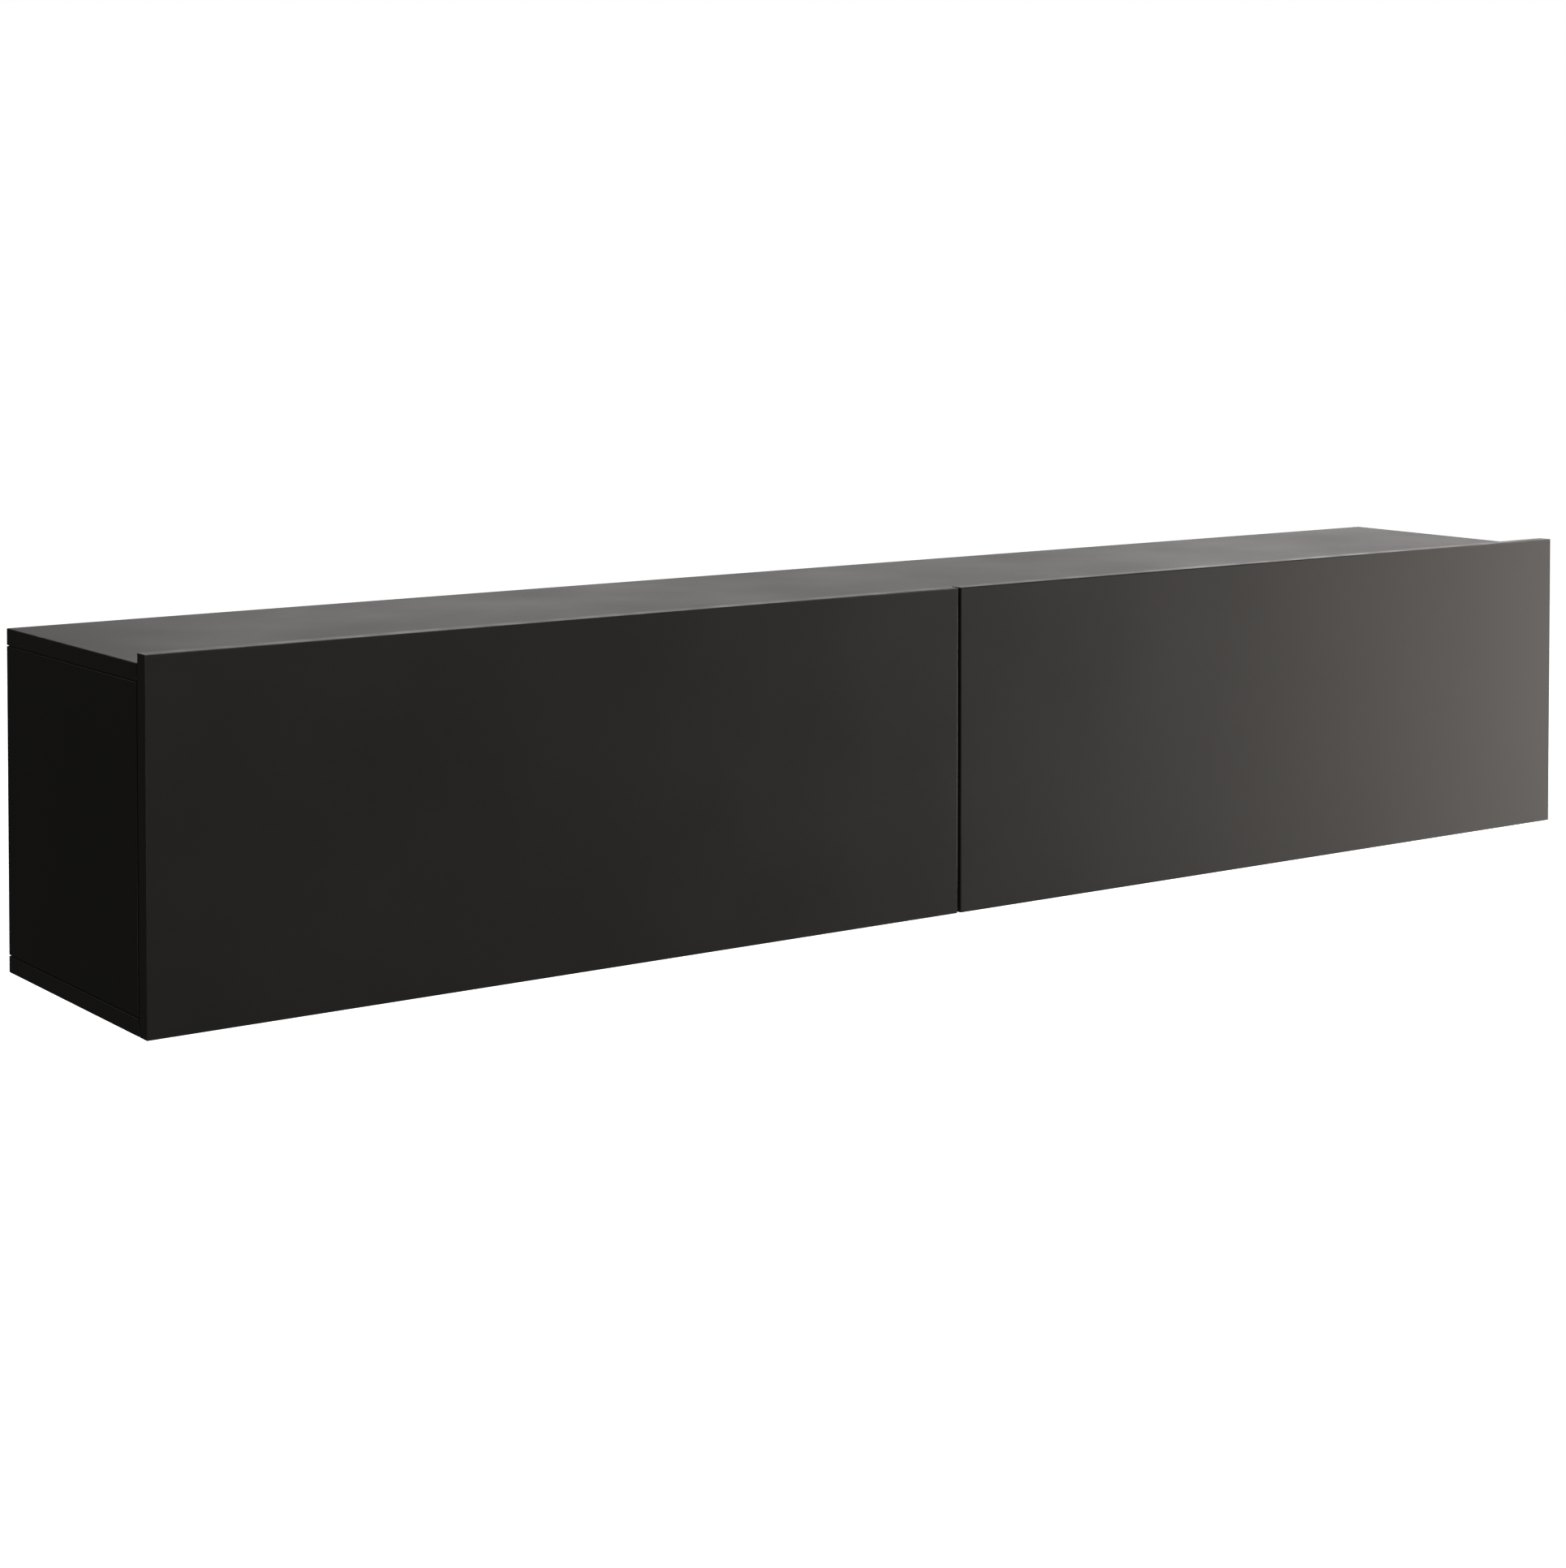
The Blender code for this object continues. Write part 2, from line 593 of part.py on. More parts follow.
def bump_stops():
    """Soft stops on the top panel's front edge, near the ends of each flap."""
    height = (CEILING + CARCASS_HEIGHT) / 2
    for name, sign in SIDES.items():
        ends = flap_ends(sign)
        for label, x in (("low", ends[0] + BUMP_FROM_END), ("high", ends[1] - BUMP_FROM_END)):
            side = "outer" if (label == "high") == (sign > 0) else "inner"
            span = (FLAP_BACK + FIT, CARCASS_FRONT - FIT)
            keep(rod(f"bump_stop_{name}_{side}", "Y", (x, height), BUMP_RADIUS, span), "rubber")


def main():
    start()
    carcass()
    back_panels()
    flaps()
    for name, sign in SIDES.items():
        for label, x in hinge_places(sign).items():
            hinge_cup(f"hinge_cup_{name}_{label}", x)
            hinge_link(f"hinge_link_{name}_{label}", x)
            hinge_arm(f"hinge_arm_{name}_{label}", x)
            hinge_plate(f"hinge_plate_{name}_{label}", x)
        flap_stay(name, sign)
        hanger(f"hanger_{name}_outer", sign * INSIDE, -sign)
        hanger(f"hanger_{name}_inner", sign * BOARD / 2, sign)
    wall_rails()
    bump_stops()


main()
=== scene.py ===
import json
import math

import bmesh
import bpy
from mathutils import Matrix, Vector


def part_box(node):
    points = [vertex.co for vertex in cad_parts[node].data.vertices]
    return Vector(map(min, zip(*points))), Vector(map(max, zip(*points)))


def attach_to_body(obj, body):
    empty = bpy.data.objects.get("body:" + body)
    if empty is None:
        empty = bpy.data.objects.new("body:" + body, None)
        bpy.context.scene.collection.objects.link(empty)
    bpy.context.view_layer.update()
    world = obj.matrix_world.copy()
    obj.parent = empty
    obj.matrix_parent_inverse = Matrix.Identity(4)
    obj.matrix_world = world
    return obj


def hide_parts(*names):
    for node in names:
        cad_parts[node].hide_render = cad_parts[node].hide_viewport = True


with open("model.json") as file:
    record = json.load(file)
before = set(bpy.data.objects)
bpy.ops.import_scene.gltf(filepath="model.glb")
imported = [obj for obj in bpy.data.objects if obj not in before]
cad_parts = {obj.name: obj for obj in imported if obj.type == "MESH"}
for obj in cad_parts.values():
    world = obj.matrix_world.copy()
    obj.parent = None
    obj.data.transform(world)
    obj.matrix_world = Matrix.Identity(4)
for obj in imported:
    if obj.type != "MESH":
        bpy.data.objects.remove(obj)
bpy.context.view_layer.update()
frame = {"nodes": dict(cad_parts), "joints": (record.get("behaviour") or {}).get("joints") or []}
joints = {joint["name"]: Vector(joint["pos_m"]) for joint in frame["joints"]}
sides = {"left": -1, "right": 1}
alongX, alongY, alongZ = (1, 0, 0), (0, 1, 0), (0, 0, 1)
white = (1, 1, 1, 1)
print("frame loaded:", len(frame["nodes"]), "nodes")


def nodeTree(owner):
    owner.use_nodes = True
    owner.node_tree.nodes.clear()
    return owner.node_tree


def addNode(tree, kind, inputs=None, **settings):
    node = tree.nodes.new(kind)
    for key, value in settings.items():
        setattr(node, key, value)
    for key, value in (inputs or {}).items():
        if isinstance(value, bpy.types.NodeSocket):
            tree.links.new(value, node.inputs[key])
        else:
            node.inputs[key].default_value = value
    return node


cameraSetup = {
    "lens": 72.735,            # mm
    "sensor": 36,              # mm
    "place": (-2.0275, -2.7061, 0.7015),
    "turn": 35.308,            # degrees from straight ahead towards +X
    "pitch": 1.8,              # degrees down
    "shiftY": -0.2876,         # brings the low cabinet to the middle of the frame
    "clip": (0.05, 60),
}


def makeCamera():
    data = bpy.data.cameras.new("studioCamera")
    data.lens = cameraSetup["lens"]
    data.sensor_width = cameraSetup["sensor"]
    data.shift_y = cameraSetup["shiftY"]
    data.clip_start, data.clip_end = cameraSetup["clip"]
    camera = bpy.data.objects.new("studioCamera", data)
    camera.location = cameraSetup["place"]
    camera.rotation_euler = (
        math.radians(90 - cameraSetup["pitch"]),
        0,
        -math.radians(cameraSetup["turn"]),
    )
    bpy.context.scene.collection.objects.link(camera)
    bpy.context.scene.camera = camera


studio = {
    "floorDrop": 0.34,         # the cabinet hangs this far above the floor
    "floorSize": 40,
    "floorColor": (0.85, 0.85, 0.85, 1),
    "floorRoughness": 0.9,
    "floorGlow": 1.0,
    "ambient": 0.042,          # even light from all round
    "ambientColor": (1.0, 0.95, 0.88, 1),
    "lookAt": Vector((0, 0, 0.16)),   # what the softboxes face
}


def makeWorld():
    world = bpy.data.worlds.new("studioWorld")
    bpy.context.scene.world = world
    tree = nodeTree(world)
    seen = addNode(tree, "ShaderNodeBackground", {"Color": white})
    ambient = addNode(tree, "ShaderNodeBackground", {
        "Color": studio["ambientColor"],
        "Strength": studio["ambient"],
    })
    path = addNode(tree, "ShaderNodeLightPath")
    mix = addNode(tree, "ShaderNodeMixShader", {
        0: path.outputs["Is Camera Ray"],
        1: ambient.outputs[0],
        2: seen.outputs[0],
    })
    addNode(tree, "ShaderNodeOutputWorld", {"Surface": mix.outputs[0]})


def makeFloor():
    sheet = bmesh.new()
    bmesh.ops.create_grid(sheet, x_segments=1, y_segments=1, size=studio["floorSize"] / 2)
    bmesh.ops.translate(sheet, vec=(0, 0, -studio["floorDrop"]), verts=sheet.verts)
    mesh = bpy.data.meshes.new("studioFloor")
    sheet.to_mesh(mesh)
    sheet.free()
    floor = bpy.data.objects.new("studioFloor", mesh)
    bpy.context.scene.collection.objects.link(floor)
    material = bpy.data.materials.new("paleFloor")
    tree = nodeTree(material)
    paint = addNode(tree, "ShaderNodeBsdfPrincipled", {
        "Base Color": studio["floorColor"],
        "Roughness": studio["floorRoughness"],
        "Emission Color": white,
        "Emission Strength": studio["floorGlow"],
    })
    addNode(tree, "ShaderNodeOutputMaterial", {"Surface": paint.outputs[0]})
    mesh.materials.append(material)
    floor.visible_glossy = False   # the softboxes alone light the cabinet
    floor.visible_diffuse = False
    floor.visible_shadow = False


softboxes = {
    # azimuth from +X towards +Y, elevation, distance, width, height, watts, colour
    "tallRight": (-13, -4, 4.0, 1.3, 2.6, 74, (1.0, 0.925, 0.87)),
    "innerRight": (-22, -4, 4.0, 1.3, 2.6, 40, (1.0, 0.925, 0.87)),
    "lowBack": (55, 13, 4.0, 4.0, 1.1, 16.2, (1.0, 0.95, 0.935)),
    "lowBackRight": (27, 13, 4.0, 2.4, 1.1, 5.4, (1.0, 0.965, 0.95)),
    "highBack": (55, 35, 4.0, 3.0, 2.0, 12, white[:3]),
    "underBack": (60, -16, 4.0, 4.0, 1.3, 23, white[:3]),
    "highLeft": (135, 32, 4.0, 1.8, 1.8, 7, white[:3]),
    "lowLeft": (-135, -22, 4.0, 1.8, 1.2, 8, white[:3]),
    "frontFill": (-100, 5, 4.0, 1.2, 1.2, 8, white[:3]),
    "highFront": (-110, 45, 4.0, 1.6, 1.6, 35, white[:3]),
    "overhead": (0, 88, 4.0, 2.4, 1.6, 60, white[:3]),
}


def makeLights():
    for name, (azimuth, elevation, distance, width, height, watts, color) in softboxes.items():
        light = bpy.data.lights.new(name, "AREA")
        light.shape = "RECTANGLE"
        light.size = width
        light.size_y = height
        light.energy = watts
        light.color = color
        turn, rise = math.radians(azimuth), math.radians(elevation)
        level = math.cos(rise)
        outward = Vector((math.cos(turn) * level, math.sin(turn) * level, math.sin(rise)))
        lamp = bpy.data.objects.new(name, light)
        lamp.location = studio["lookAt"] + outward * distance
        lamp.rotation_euler = (-outward).to_track_quat("-Z", "Y").to_euler()
        lamp.visible_camera = False
        bpy.context.scene.collection.objects.link(lamp)


bpy.context.scene.view_settings.view_transform = "Standard"
makeCamera()
makeWorld()
makeFloor()
makeLights()
print("camera, floor and lights set")


def startFinish(name, **sockets):
    material = bpy.data.materials.new(name)
    tree = nodeTree(material)
    shader = addNode(tree, "ShaderNodeBsdfPrincipled", sockets)
    addNode(tree, "ShaderNodeOutputMaterial", {"Surface": shader.outputs[0]})
    return material, tree, shader


def onPiece(tree, stretch=(1, 1, 1)):
    place = addNode(tree, "ShaderNodeTexCoord")
    mapping = addNode(tree, "ShaderNodeMapping", {"Vector": place.outputs["Object"], "Scale": stretch})
    return mapping.outputs[0]


def cloudy(tree, size, detail=2.0, stretch=(1, 1, 1)):
    # soft patches about one size across, in metres
    inputs = {"Vector": onPiece(tree, stretch), "Scale": 1 / size, "Detail": detail}
    return addNode(tree, "ShaderNodeTexNoise", inputs).outputs["Fac"]


def between(tree, value, low, high, fromLow=0.3, fromHigh=0.7):
    # a noise mostly keeps between 0.3 and 0.7
    ranged = addNode(tree, "ShaderNodeMapRange", {
        "Value": value, "From Min": fromLow, "From Max": fromHigh, "To Min": low, "To Max": high,
    })
    return ranged.outputs["Result"]


def calculate(tree, operation, first, second):
    return addNode(tree, "ShaderNodeMath", {0: first, 1: second}, operation=operation).outputs[0]


def blendColors(tree, amount, first, second):
    mix = addNode(tree, "ShaderNodeMix", data_type="RGBA")
    tree.links.new(amount, mix.inputs["Factor"])
    mix.inputs[6].default_value = (*first, 1)
    mix.inputs[7].default_value = (*second, 1)
    return mix.outputs[2]


def raised(tree, height, depth, under=None):
    # depth is the relief in metres
    inputs = {"Height": height, "Strength": 1.0, "Distance": depth}
    if under is not None:
        inputs["Normal"] = under
    return addNode(tree, "ShaderNodeBump", inputs).outputs["Normal"]


def connect(tree, shader, color, roughness, normal):
    for key, value in (("Base Color", color), ("Roughness", roughness), ("Normal", normal)):
        tree.links.new(value, shader.inputs[key])


laminateLook = {
    "colors": ((0.0148, 0.0145, 0.0142), (0.0178, 0.0174, 0.0170)),
    "pearl": (0.0007, 1.0),    # size and detail of the press plate's pearl grain
    "pearlDepth": 0.000016,
    "pearlGloss": 0.015,       # change of roughness from grain to grain
    "wave": (0.012, 1.0),      # slow unevenness of the pressed face
    "waveDepth": 0.00003,
    "smudge": (0.16, 4.0),
    "roughness": (0.43, 0.49),
}


def laminateFinish():
    look = laminateLook
    material, tree, shader = startFinish("blackLaminate")
    grain = cloudy(tree, *look["pearl"])
    base = between(tree, cloudy(tree, *look["smudge"]), *look["roughness"])
    change = look["pearlGloss"]
    gloss = calculate(tree, "ADD", base, between(tree, grain, -change, change))
    relief = raised(tree, cloudy(tree, *look["wave"]), look["waveDepth"])
    relief = raised(tree, grain, look["pearlDepth"], relief)
    connect(tree, shader, blendColors(tree, between(tree, grain, 0, 1), *look["colors"]), gloss, relief)
    return material


edgeLook = {
    "colors": ((0.0165, 0.0162, 0.0158), (0.0215, 0.0210, 0.0204)),
    "streak": (0.0004, 2.0),   # width and detail of the roller's streaks
    "streakStretch": 80,       # length of a streak, in widths
    "streakDepth": 0.000006,
    "streakGloss": 0.03,
    "wear": (0.03, 3.0),
    "roughness": (0.35, 0.45),
}


def edgeFinish(name, along):
    # the edge band's surface, with the streaks of its roller along one axis
    look = edgeLook
    material, tree, shader = startFinish(name)
    stretch = [1, 1, 1]
    stretch[along] = 1 / look["streakStretch"]
    streaks = cloudy(tree, *look["streak"], stretch)
    wear = cloudy(tree, *look["wear"])
    color = blendColors(tree, between(tree, wear, 0, 1), *look["colors"])
    base = between(tree, wear, *look["roughness"])
    change = look["streakGloss"]
    gloss = calculate(tree, "ADD", base, between(tree, streaks, -change, change))
    connect(tree, shader, color, gloss, raised(tree, streaks, look["streakDepth"]))
    return material


coreLook = {
    "colors": ((0.36, 0.235, 0.130), (0.61, 0.46, 0.30)),
    "chipSize": 0.0016,
    "chipStretch": (0.5, 1, 1),
    "chipDepth": 0.00012,
    "dustSize": 0.0004,
    "roughness": (0.75, 0.95),
}


def coreFinish():
    # cut particle board, in grooves and bores
    look = coreLook
    material, tree, shader = startFinish("chipboardCore")
    chips = addNode(tree, "ShaderNodeTexVoronoi", {
        "Vector": onPiece(tree, look["chipStretch"]),
        "Scale": 1 / look["chipSize"],
        "Randomness": 1.0,
    })
    tint = addNode(tree, "ShaderNodeSeparateColor", {"Color": chips.outputs["Color"]}).outputs[0]
    color = blendColors(tree, tint, *look["colors"])
    height = calculate(tree, "ADD", tint, cloudy(tree, look["dustSize"]))
    gloss = between(tree, tint, *look["roughness"], 0, 1)
    connect(tree, shader, color, gloss, raised(tree, height, look["chipDepth"]))
    return material


def grainFinish(name, look, **sockets):
    # a fine grain, over soft patches where the look has them
    material, tree, shader = startFinish(name, **sockets)
    grain = cloudy(tree, *look["grain"])
    patch = cloudy(tree, *look["patch"]) if "patch" in look else grain
    color = blendColors(tree, between(tree, patch, 0, 1), *look["colors"])
    gloss = between(tree, grain, *look["roughness"])
    connect(tree, shader, color, gloss, raised(tree, grain, look["grainDepth"]))
    return material


coatLook = {
    # the painted front of the back panels
    "colors": ((0.0175, 0.0170, 0.0165), (0.0225, 0.0218, 0.0210)),
    "grain": (0.0011, 2.0),
    "grainDepth": 0.00002,
    "patch": (0.05, 3.0),
    "roughness": (0.50, 0.62),
}


fibreLook = {
    "colors": ((0.030, 0.023, 0.017), (0.062, 0.046, 0.033)),
    "fibre": (0.0022, 6.0, (0.45, 1, 1)),
    "fibreDepth": 0.00008,
    "fibreRange": (0.25, 0.75),
    "patch": (0.045, 3.0),
    "patchRange": (0.7, 1.0),
    "screenPitch": 0.0016,     # the press screen's wires
    "screenDepth": 0.00012,
    "screenBend": 0.6,
    "roughness": (0.72, 0.9),
}
waveScale = 0.314              # of Blender's wave texture, for one band in a metre


def fibreFinish():
    # the bare rear of the back panels
    look = fibreLook
    material, tree, shader = startFinish("hardboardFibre")
    fibres = cloudy(tree, *look["fibre"])
    patches = cloudy(tree, *look["patch"])
    spread = between(tree, fibres, 0, 1, *look["fibreRange"])
    amount = calculate(tree, "MULTIPLY", spread, between(tree, patches, *look["patchRange"]))
    wires = []
    for direction in ("X", "Z"):
        wave = addNode(tree, "ShaderNodeTexWave", {
            "Vector": onPiece(tree),
            "Scale": waveScale / look["screenPitch"],
            "Distortion": look["screenBend"],
            "Detail": 1.0,
        }, bands_direction=direction)
        wires.append(wave.outputs["Fac"])
    relief = raised(tree, calculate(tree, "MAXIMUM", *wires), look["screenDepth"])
    relief = raised(tree, fibres, look["fibreDepth"], relief)
    color = blendColors(tree, amount, *look["colors"])
    connect(tree, shader, color, between(tree, fibres, *look["roughness"]), relief)
    return material


metalLooks = {
    # two colours, roughness range, patch size, scratch depth, stretch of the scratches
    "nickel": (((0.60, 0.585, 0.55), (0.68, 0.665, 0.635)), (0.20, 0.32), 0.006, 0.000003, (1, 0.04, 1)),
    "zinc": (((0.50, 0.515, 0.53), (0.62, 0.63, 0.645)), (0.30, 0.44), 0.009, 0.000004, (0.05, 1, 1)),
    "castZinc": (((0.40, 0.40, 0.395), (0.50, 0.50, 0.49)), (0.42, 0.56), 0.003, 0.000012, (1, 1, 1)),
}
metalDetail = {
    "cellTone": (0.35, 1.0),   # the range of the crystals' tone
    "stainSize": 2.5,          # in patches
    "stainDetail": 4.0,
    "stainTone": (0.5, 1.0),
    "scratch": (0.00025, 3.0),
    "scratchGloss": 0.04,
}


def metalFinish(name):
    look = metalDetail
    colors, roughness, patch, depth, stretch = metalLooks[name]
    material, tree, shader = startFinish(name, Metallic=1.0)
    cells = addNode(tree, "ShaderNodeTexVoronoi", {"Vector": onPiece(tree), "Scale": 1 / patch})
    tone = addNode(tree, "ShaderNodeSeparateColor", {"Color": cells.outputs["Color"]}).outputs[0]
    stain = cloudy(tree, patch * look["stainSize"], look["stainDetail"])
    crystals = between(tree, tone, *look["cellTone"], 0, 1)
    amount = calculate(tree, "MULTIPLY", crystals, between(tree, stain, *look["stainTone"]))
    scratches = cloudy(tree, *look["scratch"], stretch)
    base = between(tree, stain, *roughness)
    change = look["scratchGloss"]
    shine = calculate(tree, "ADD", base, between(tree, scratches, -change, change))
    connect(tree, shader, blendColors(tree, amount, *colors), shine, raised(tree, scratches, depth))
    return material


rubberLook = {
    "colors": ((0.085, 0.085, 0.087), (0.125, 0.124, 0.122)),
    "specular": {"Specular IOR Level": 0.35},
    "grain": (0.0012, 5.0),
    "grainDepth": 0.00001,
    "roughness": (0.52, 0.70),
}
finishes = {
    "laminate": laminateFinish(),
    "edgeAlongX": edgeFinish("edgeBandAlongX", 0),
    "edgeAlongY": edgeFinish("edgeBandAlongY", 1),
    "edgeAlongZ": edgeFinish("edgeBandAlongZ", 2),
    "core": coreFinish(),
    "coat": grainFinish("hardboardCoat", coatLook),
    "fibre": fibreFinish(),
    "rubber": grainFinish("greyRubber", rubberLook, **rubberLook["specular"]),
}
for metal in metalLooks:
    finishes[metal] = metalFinish(metal)
print("finishes mixed:", len(finishes))


joinGap = 0.000001             # closer points than this are one when a shape is made
mendGap = 0.000002             # and after it is cut
easeSteps = 2
lidShare = 0.99                # least part of a lid's normal that is along its plate's axis
flatShare = 0.99995            # and of a flat face's normal along any axis


def newPiece(name, sheet, *wanted):
    bmesh.ops.recalc_face_normals(sheet, faces=sheet.faces)
    mesh = bpy.data.meshes.new(name)
    sheet.to_mesh(mesh)
    sheet.free()
    for finish in wanted:
        mesh.materials.append(finishes[finish])
    piece = bpy.data.objects.new(name, mesh)
    bpy.context.scene.collection.objects.link(piece)
    return piece


def ease(sheet, edges, offset, segments):
    bmesh.ops.bevel(sheet, geom=edges, offset=offset, segments=segments, profile=0.5, affect="EDGES")


def blockSheet(low, high, rounding=0.0, segments=easeSteps):
    sheet = bmesh.new()
    bmesh.ops.create_cube(sheet, size=1)
    for vert in sheet.verts:
        vert.co = [low[i] if vert.co[i] < 0 else high[i] for i in range(3)]
    if rounding:
        ease(sheet, sheet.edges[:], rounding, segments)
    return sheet


def block(name, low, high, finish, rounding=0.0, segments=easeSteps):
    return newPiece(name, blockSheet(low, high, rounding, segments), finish)


def turned(name, profile, place, toward, finish, steps=24):
    # a turned shape: radius and height along its axis, closed where the radius is 0
    sheet = bmesh.new()
    points = [sheet.verts.new((radius, 0, height)) for radius, height in profile]
    edges = [sheet.edges.new(pair) for pair in zip(points, points[1:])]
    circle = {"cent": (0, 0, 0), "axis": alongZ, "angle": 2 * math.pi, "steps": steps}
    bmesh.ops.spin(sheet, geom=points + edges, **circle)
    bmesh.ops.remove_doubles(sheet, verts=sheet.verts, dist=joinGap)
    stand = Vector(alongZ).rotation_difference(Vector(toward)).to_matrix().to_4x4()
    bmesh.ops.transform(sheet, matrix=Matrix.Translation(place) @ stand, verts=sheet.verts)
    return newPiece(name, sheet, finish)


def rod(name, radius, place, toward, length, finish, steps=24):
    profile = [(0, 0), (radius, 0), (radius, length), (0, length)]
    return turned(name, profile, place, toward, finish, steps)


def arc(middle, radius, first, last, steps=8):
    # degrees, from the first axis of the outline's plane towards the second
    points = []
    for i in range(steps + 1):
        angle = math.radians(first + (last - first) * i / steps)
        points.append((middle[0] + radius * math.cos(angle), middle[1] + radius * math.sin(angle)))
    return points


def roundedRectangle(low, high, radius, steps=6):
    turns = (
        ((high[0] - radius, low[1] + radius), -90),
        ((high[0] - radius, high[1] - radius), 0),
        ((low[0] + radius, high[1] - radius), 90),
        ((low[0] + radius, low[1] + radius), 180),
    )
    return [point for middle, start in turns for point in arc(middle, radius, start, start + 90, steps)]


def roundBar(first, second, half, steps=10):
    # outline of a bar with round ends
    angle = math.degrees(math.atan2(second[1] - first[1], second[0] - first[0]))
    foot = arc(first, half, angle + 90, angle + 270, steps)
    return foot + arc(second, half, angle - 90, angle + 90, steps)


def foldedStrip(path, thick, bend, steps=4):
    # outline of sheet metal folded along a path through the middle of the sheet
    path = [Vector(point) for point in path]
    left, right = [], []
    for before, here, after in zip([None] + path[:-1], path, path[1:] + [None]):
        into = (here - before).normalized() if before else None
        out = (after - here).normalized() if after else None
        if into is None or out is None:
            along = out or into
            across = Vector((-along.y, along.x)) * thick / 2
            left.append(here + across)
            right.append(here - across)
            continue
        turn = math.atan2(into.x * out.y - into.y * out.x, into.dot(out))
        sign = math.copysign(1, turn)
        reach = bend + thick / 2
        hub = here - into * reach * math.tan(abs(turn) / 2) + Vector((-into.y, into.x)) * sign * reach
        start = math.atan2(-sign * into.x, sign * into.y)
        for i in range(steps + 1):
            ray = Vector((math.cos(start + turn * i / steps), math.sin(start + turn * i / steps)))
            left.append(hub + ray * (reach - sign * thick / 2))
            right.append(hub + ray * (reach + sign * thick / 2))
    return left + right[::-1]


def plate(name, outline, axis, span, finish, edge=0.0):
    # a flat piece across one axis, with its outline in the other two and its rims eased
    others = [i for i in range(3) if i != axis]
    sheet = bmesh.new()
    points = []
    for first, second in outline:
        place = [0, 0, 0]
        place[axis], place[others[0]], place[others[1]] = span[0], first, second
        points.append(sheet.verts.new(place))
    foot = sheet.faces.new(points)
    lifted = bmesh.ops.extrude_face_region(sheet, geom=[foot])["geom"]
    shift = [0, 0, 0]
    shift[axis] = span[1] - span[0]
    upper = [part for part in lifted if isinstance(part, bmesh.types.BMVert)]
    bmesh.ops.translate(sheet, vec=shift, verts=upper)
    bmesh.ops.remove_doubles(sheet, verts=sheet.verts, dist=joinGap)
    if edge:
        lids = [face for face in sheet.faces if abs(face.normal[axis]) > lidShare]
        rims = dict.fromkeys(rim for face in lids for rim in face.edges)   # each once, in order
        ease(sheet, list(rims), edge, easeSteps)
    return newPiece(name, sheet, finish)


def bake(piece):
    depsgraph = bpy.context.evaluated_depsgraph_get()
    old = piece.data
    piece.data = bpy.data.meshes.new_from_object(piece.evaluated_get(depsgraph))
    piece.data.name = piece.name
    piece.modifiers.clear()
    bpy.data.meshes.remove(old)
    sheet = bmesh.new()
    sheet.from_mesh(piece.data)
    bmesh.ops.remove_doubles(sheet, verts=sheet.verts, dist=mendGap)
    bmesh.ops.dissolve_degenerate(sheet, edges=sheet.edges, dist=mendGap)
    openEdges = [edge for edge in sheet.edges if edge.is_boundary]
    bmesh.ops.holes_fill(sheet, edges=openEdges, sides=4)
    sheet.to_mesh(piece.data)
    sheet.free()


def combine(piece, operation, shapes):
    for shape in shapes:
        change = piece.modifiers.new(shape.name, "BOOLEAN")
        change.operation = operation
        change.solver = "EXACT"
        change.object = shape
    bake(piece)
    for shape in shapes:
        bpy.data.objects.remove(shape)


def cut(piece, *shapes):
    combine(piece, "DIFFERENCE", shapes)


def fuse(piece, *shapes):
    combine(piece, "UNION", shapes)


def attach(piece, *shapes):
    # closed shapes pushed into each other and kept as one piece
    sheet = bmesh.new()
    for part in (piece, *shapes):
        sheet.from_mesh(part.data)
    sheet.to_mesh(piece.data)
    sheet.free()
    for shape in shapes:
        bpy.data.objects.remove(shape)


def shade(piece, sharp=32):
    # smooth rounds, with every face that lies along an axis kept flat
    mesh = piece.data
    mesh.shade_smooth()
    mesh.set_sharp_from_angle(angle=math.radians(sharp))
    for face in mesh.polygons:
        if max(abs(part) for part in face.normal) > flatShare:
            face.use_smooth = False


def settle(piece, body, slot, *nodes):
    # the last step of every piece: its shading, its body and the nodes it stands for
    shade(piece)
    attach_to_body(piece, body)
    if nodes:
        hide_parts(*nodes)


def ends(node):
    low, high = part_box(node)
    return low, high, (low + high) / 2


boardLook = {
    "rounding": 0.0007,        # of the edge bands
    "roundingSteps": 3,
    "bandThick": 0.0010,
    "seamWidth": 0.00016,      # joint line between band and face
    "seamDepth": 0.00008,
    "grooveSlack": 0.0003,     # between a back panel and its groove
    "boreSlack": 0.0003,
    "boreSteps": 32,
    "buttGap": 0.0005,         # shadow line where an upright board meets the top and bottom
    "setBack": 0.0010,         # of the upright boards' front edges, behind the flaps
    "tongue": (0.0015, 0.006),  # from the outer face to the tongue's two faces
    "tongueGrip": 0.006,
    "tongueInset": 0.0015,
    "throughCut": 0.01,        # how far a bore's cutter stands out of the board
    "openNear": 0.002,         # a node this close to a face has its bore open there
}
bandAlong = {0: {1: 2, 2: 1}, 1: {0: 2, 2: 0}, 2: {0: 1, 1: 0}}   # flat axis, banded side: band's length


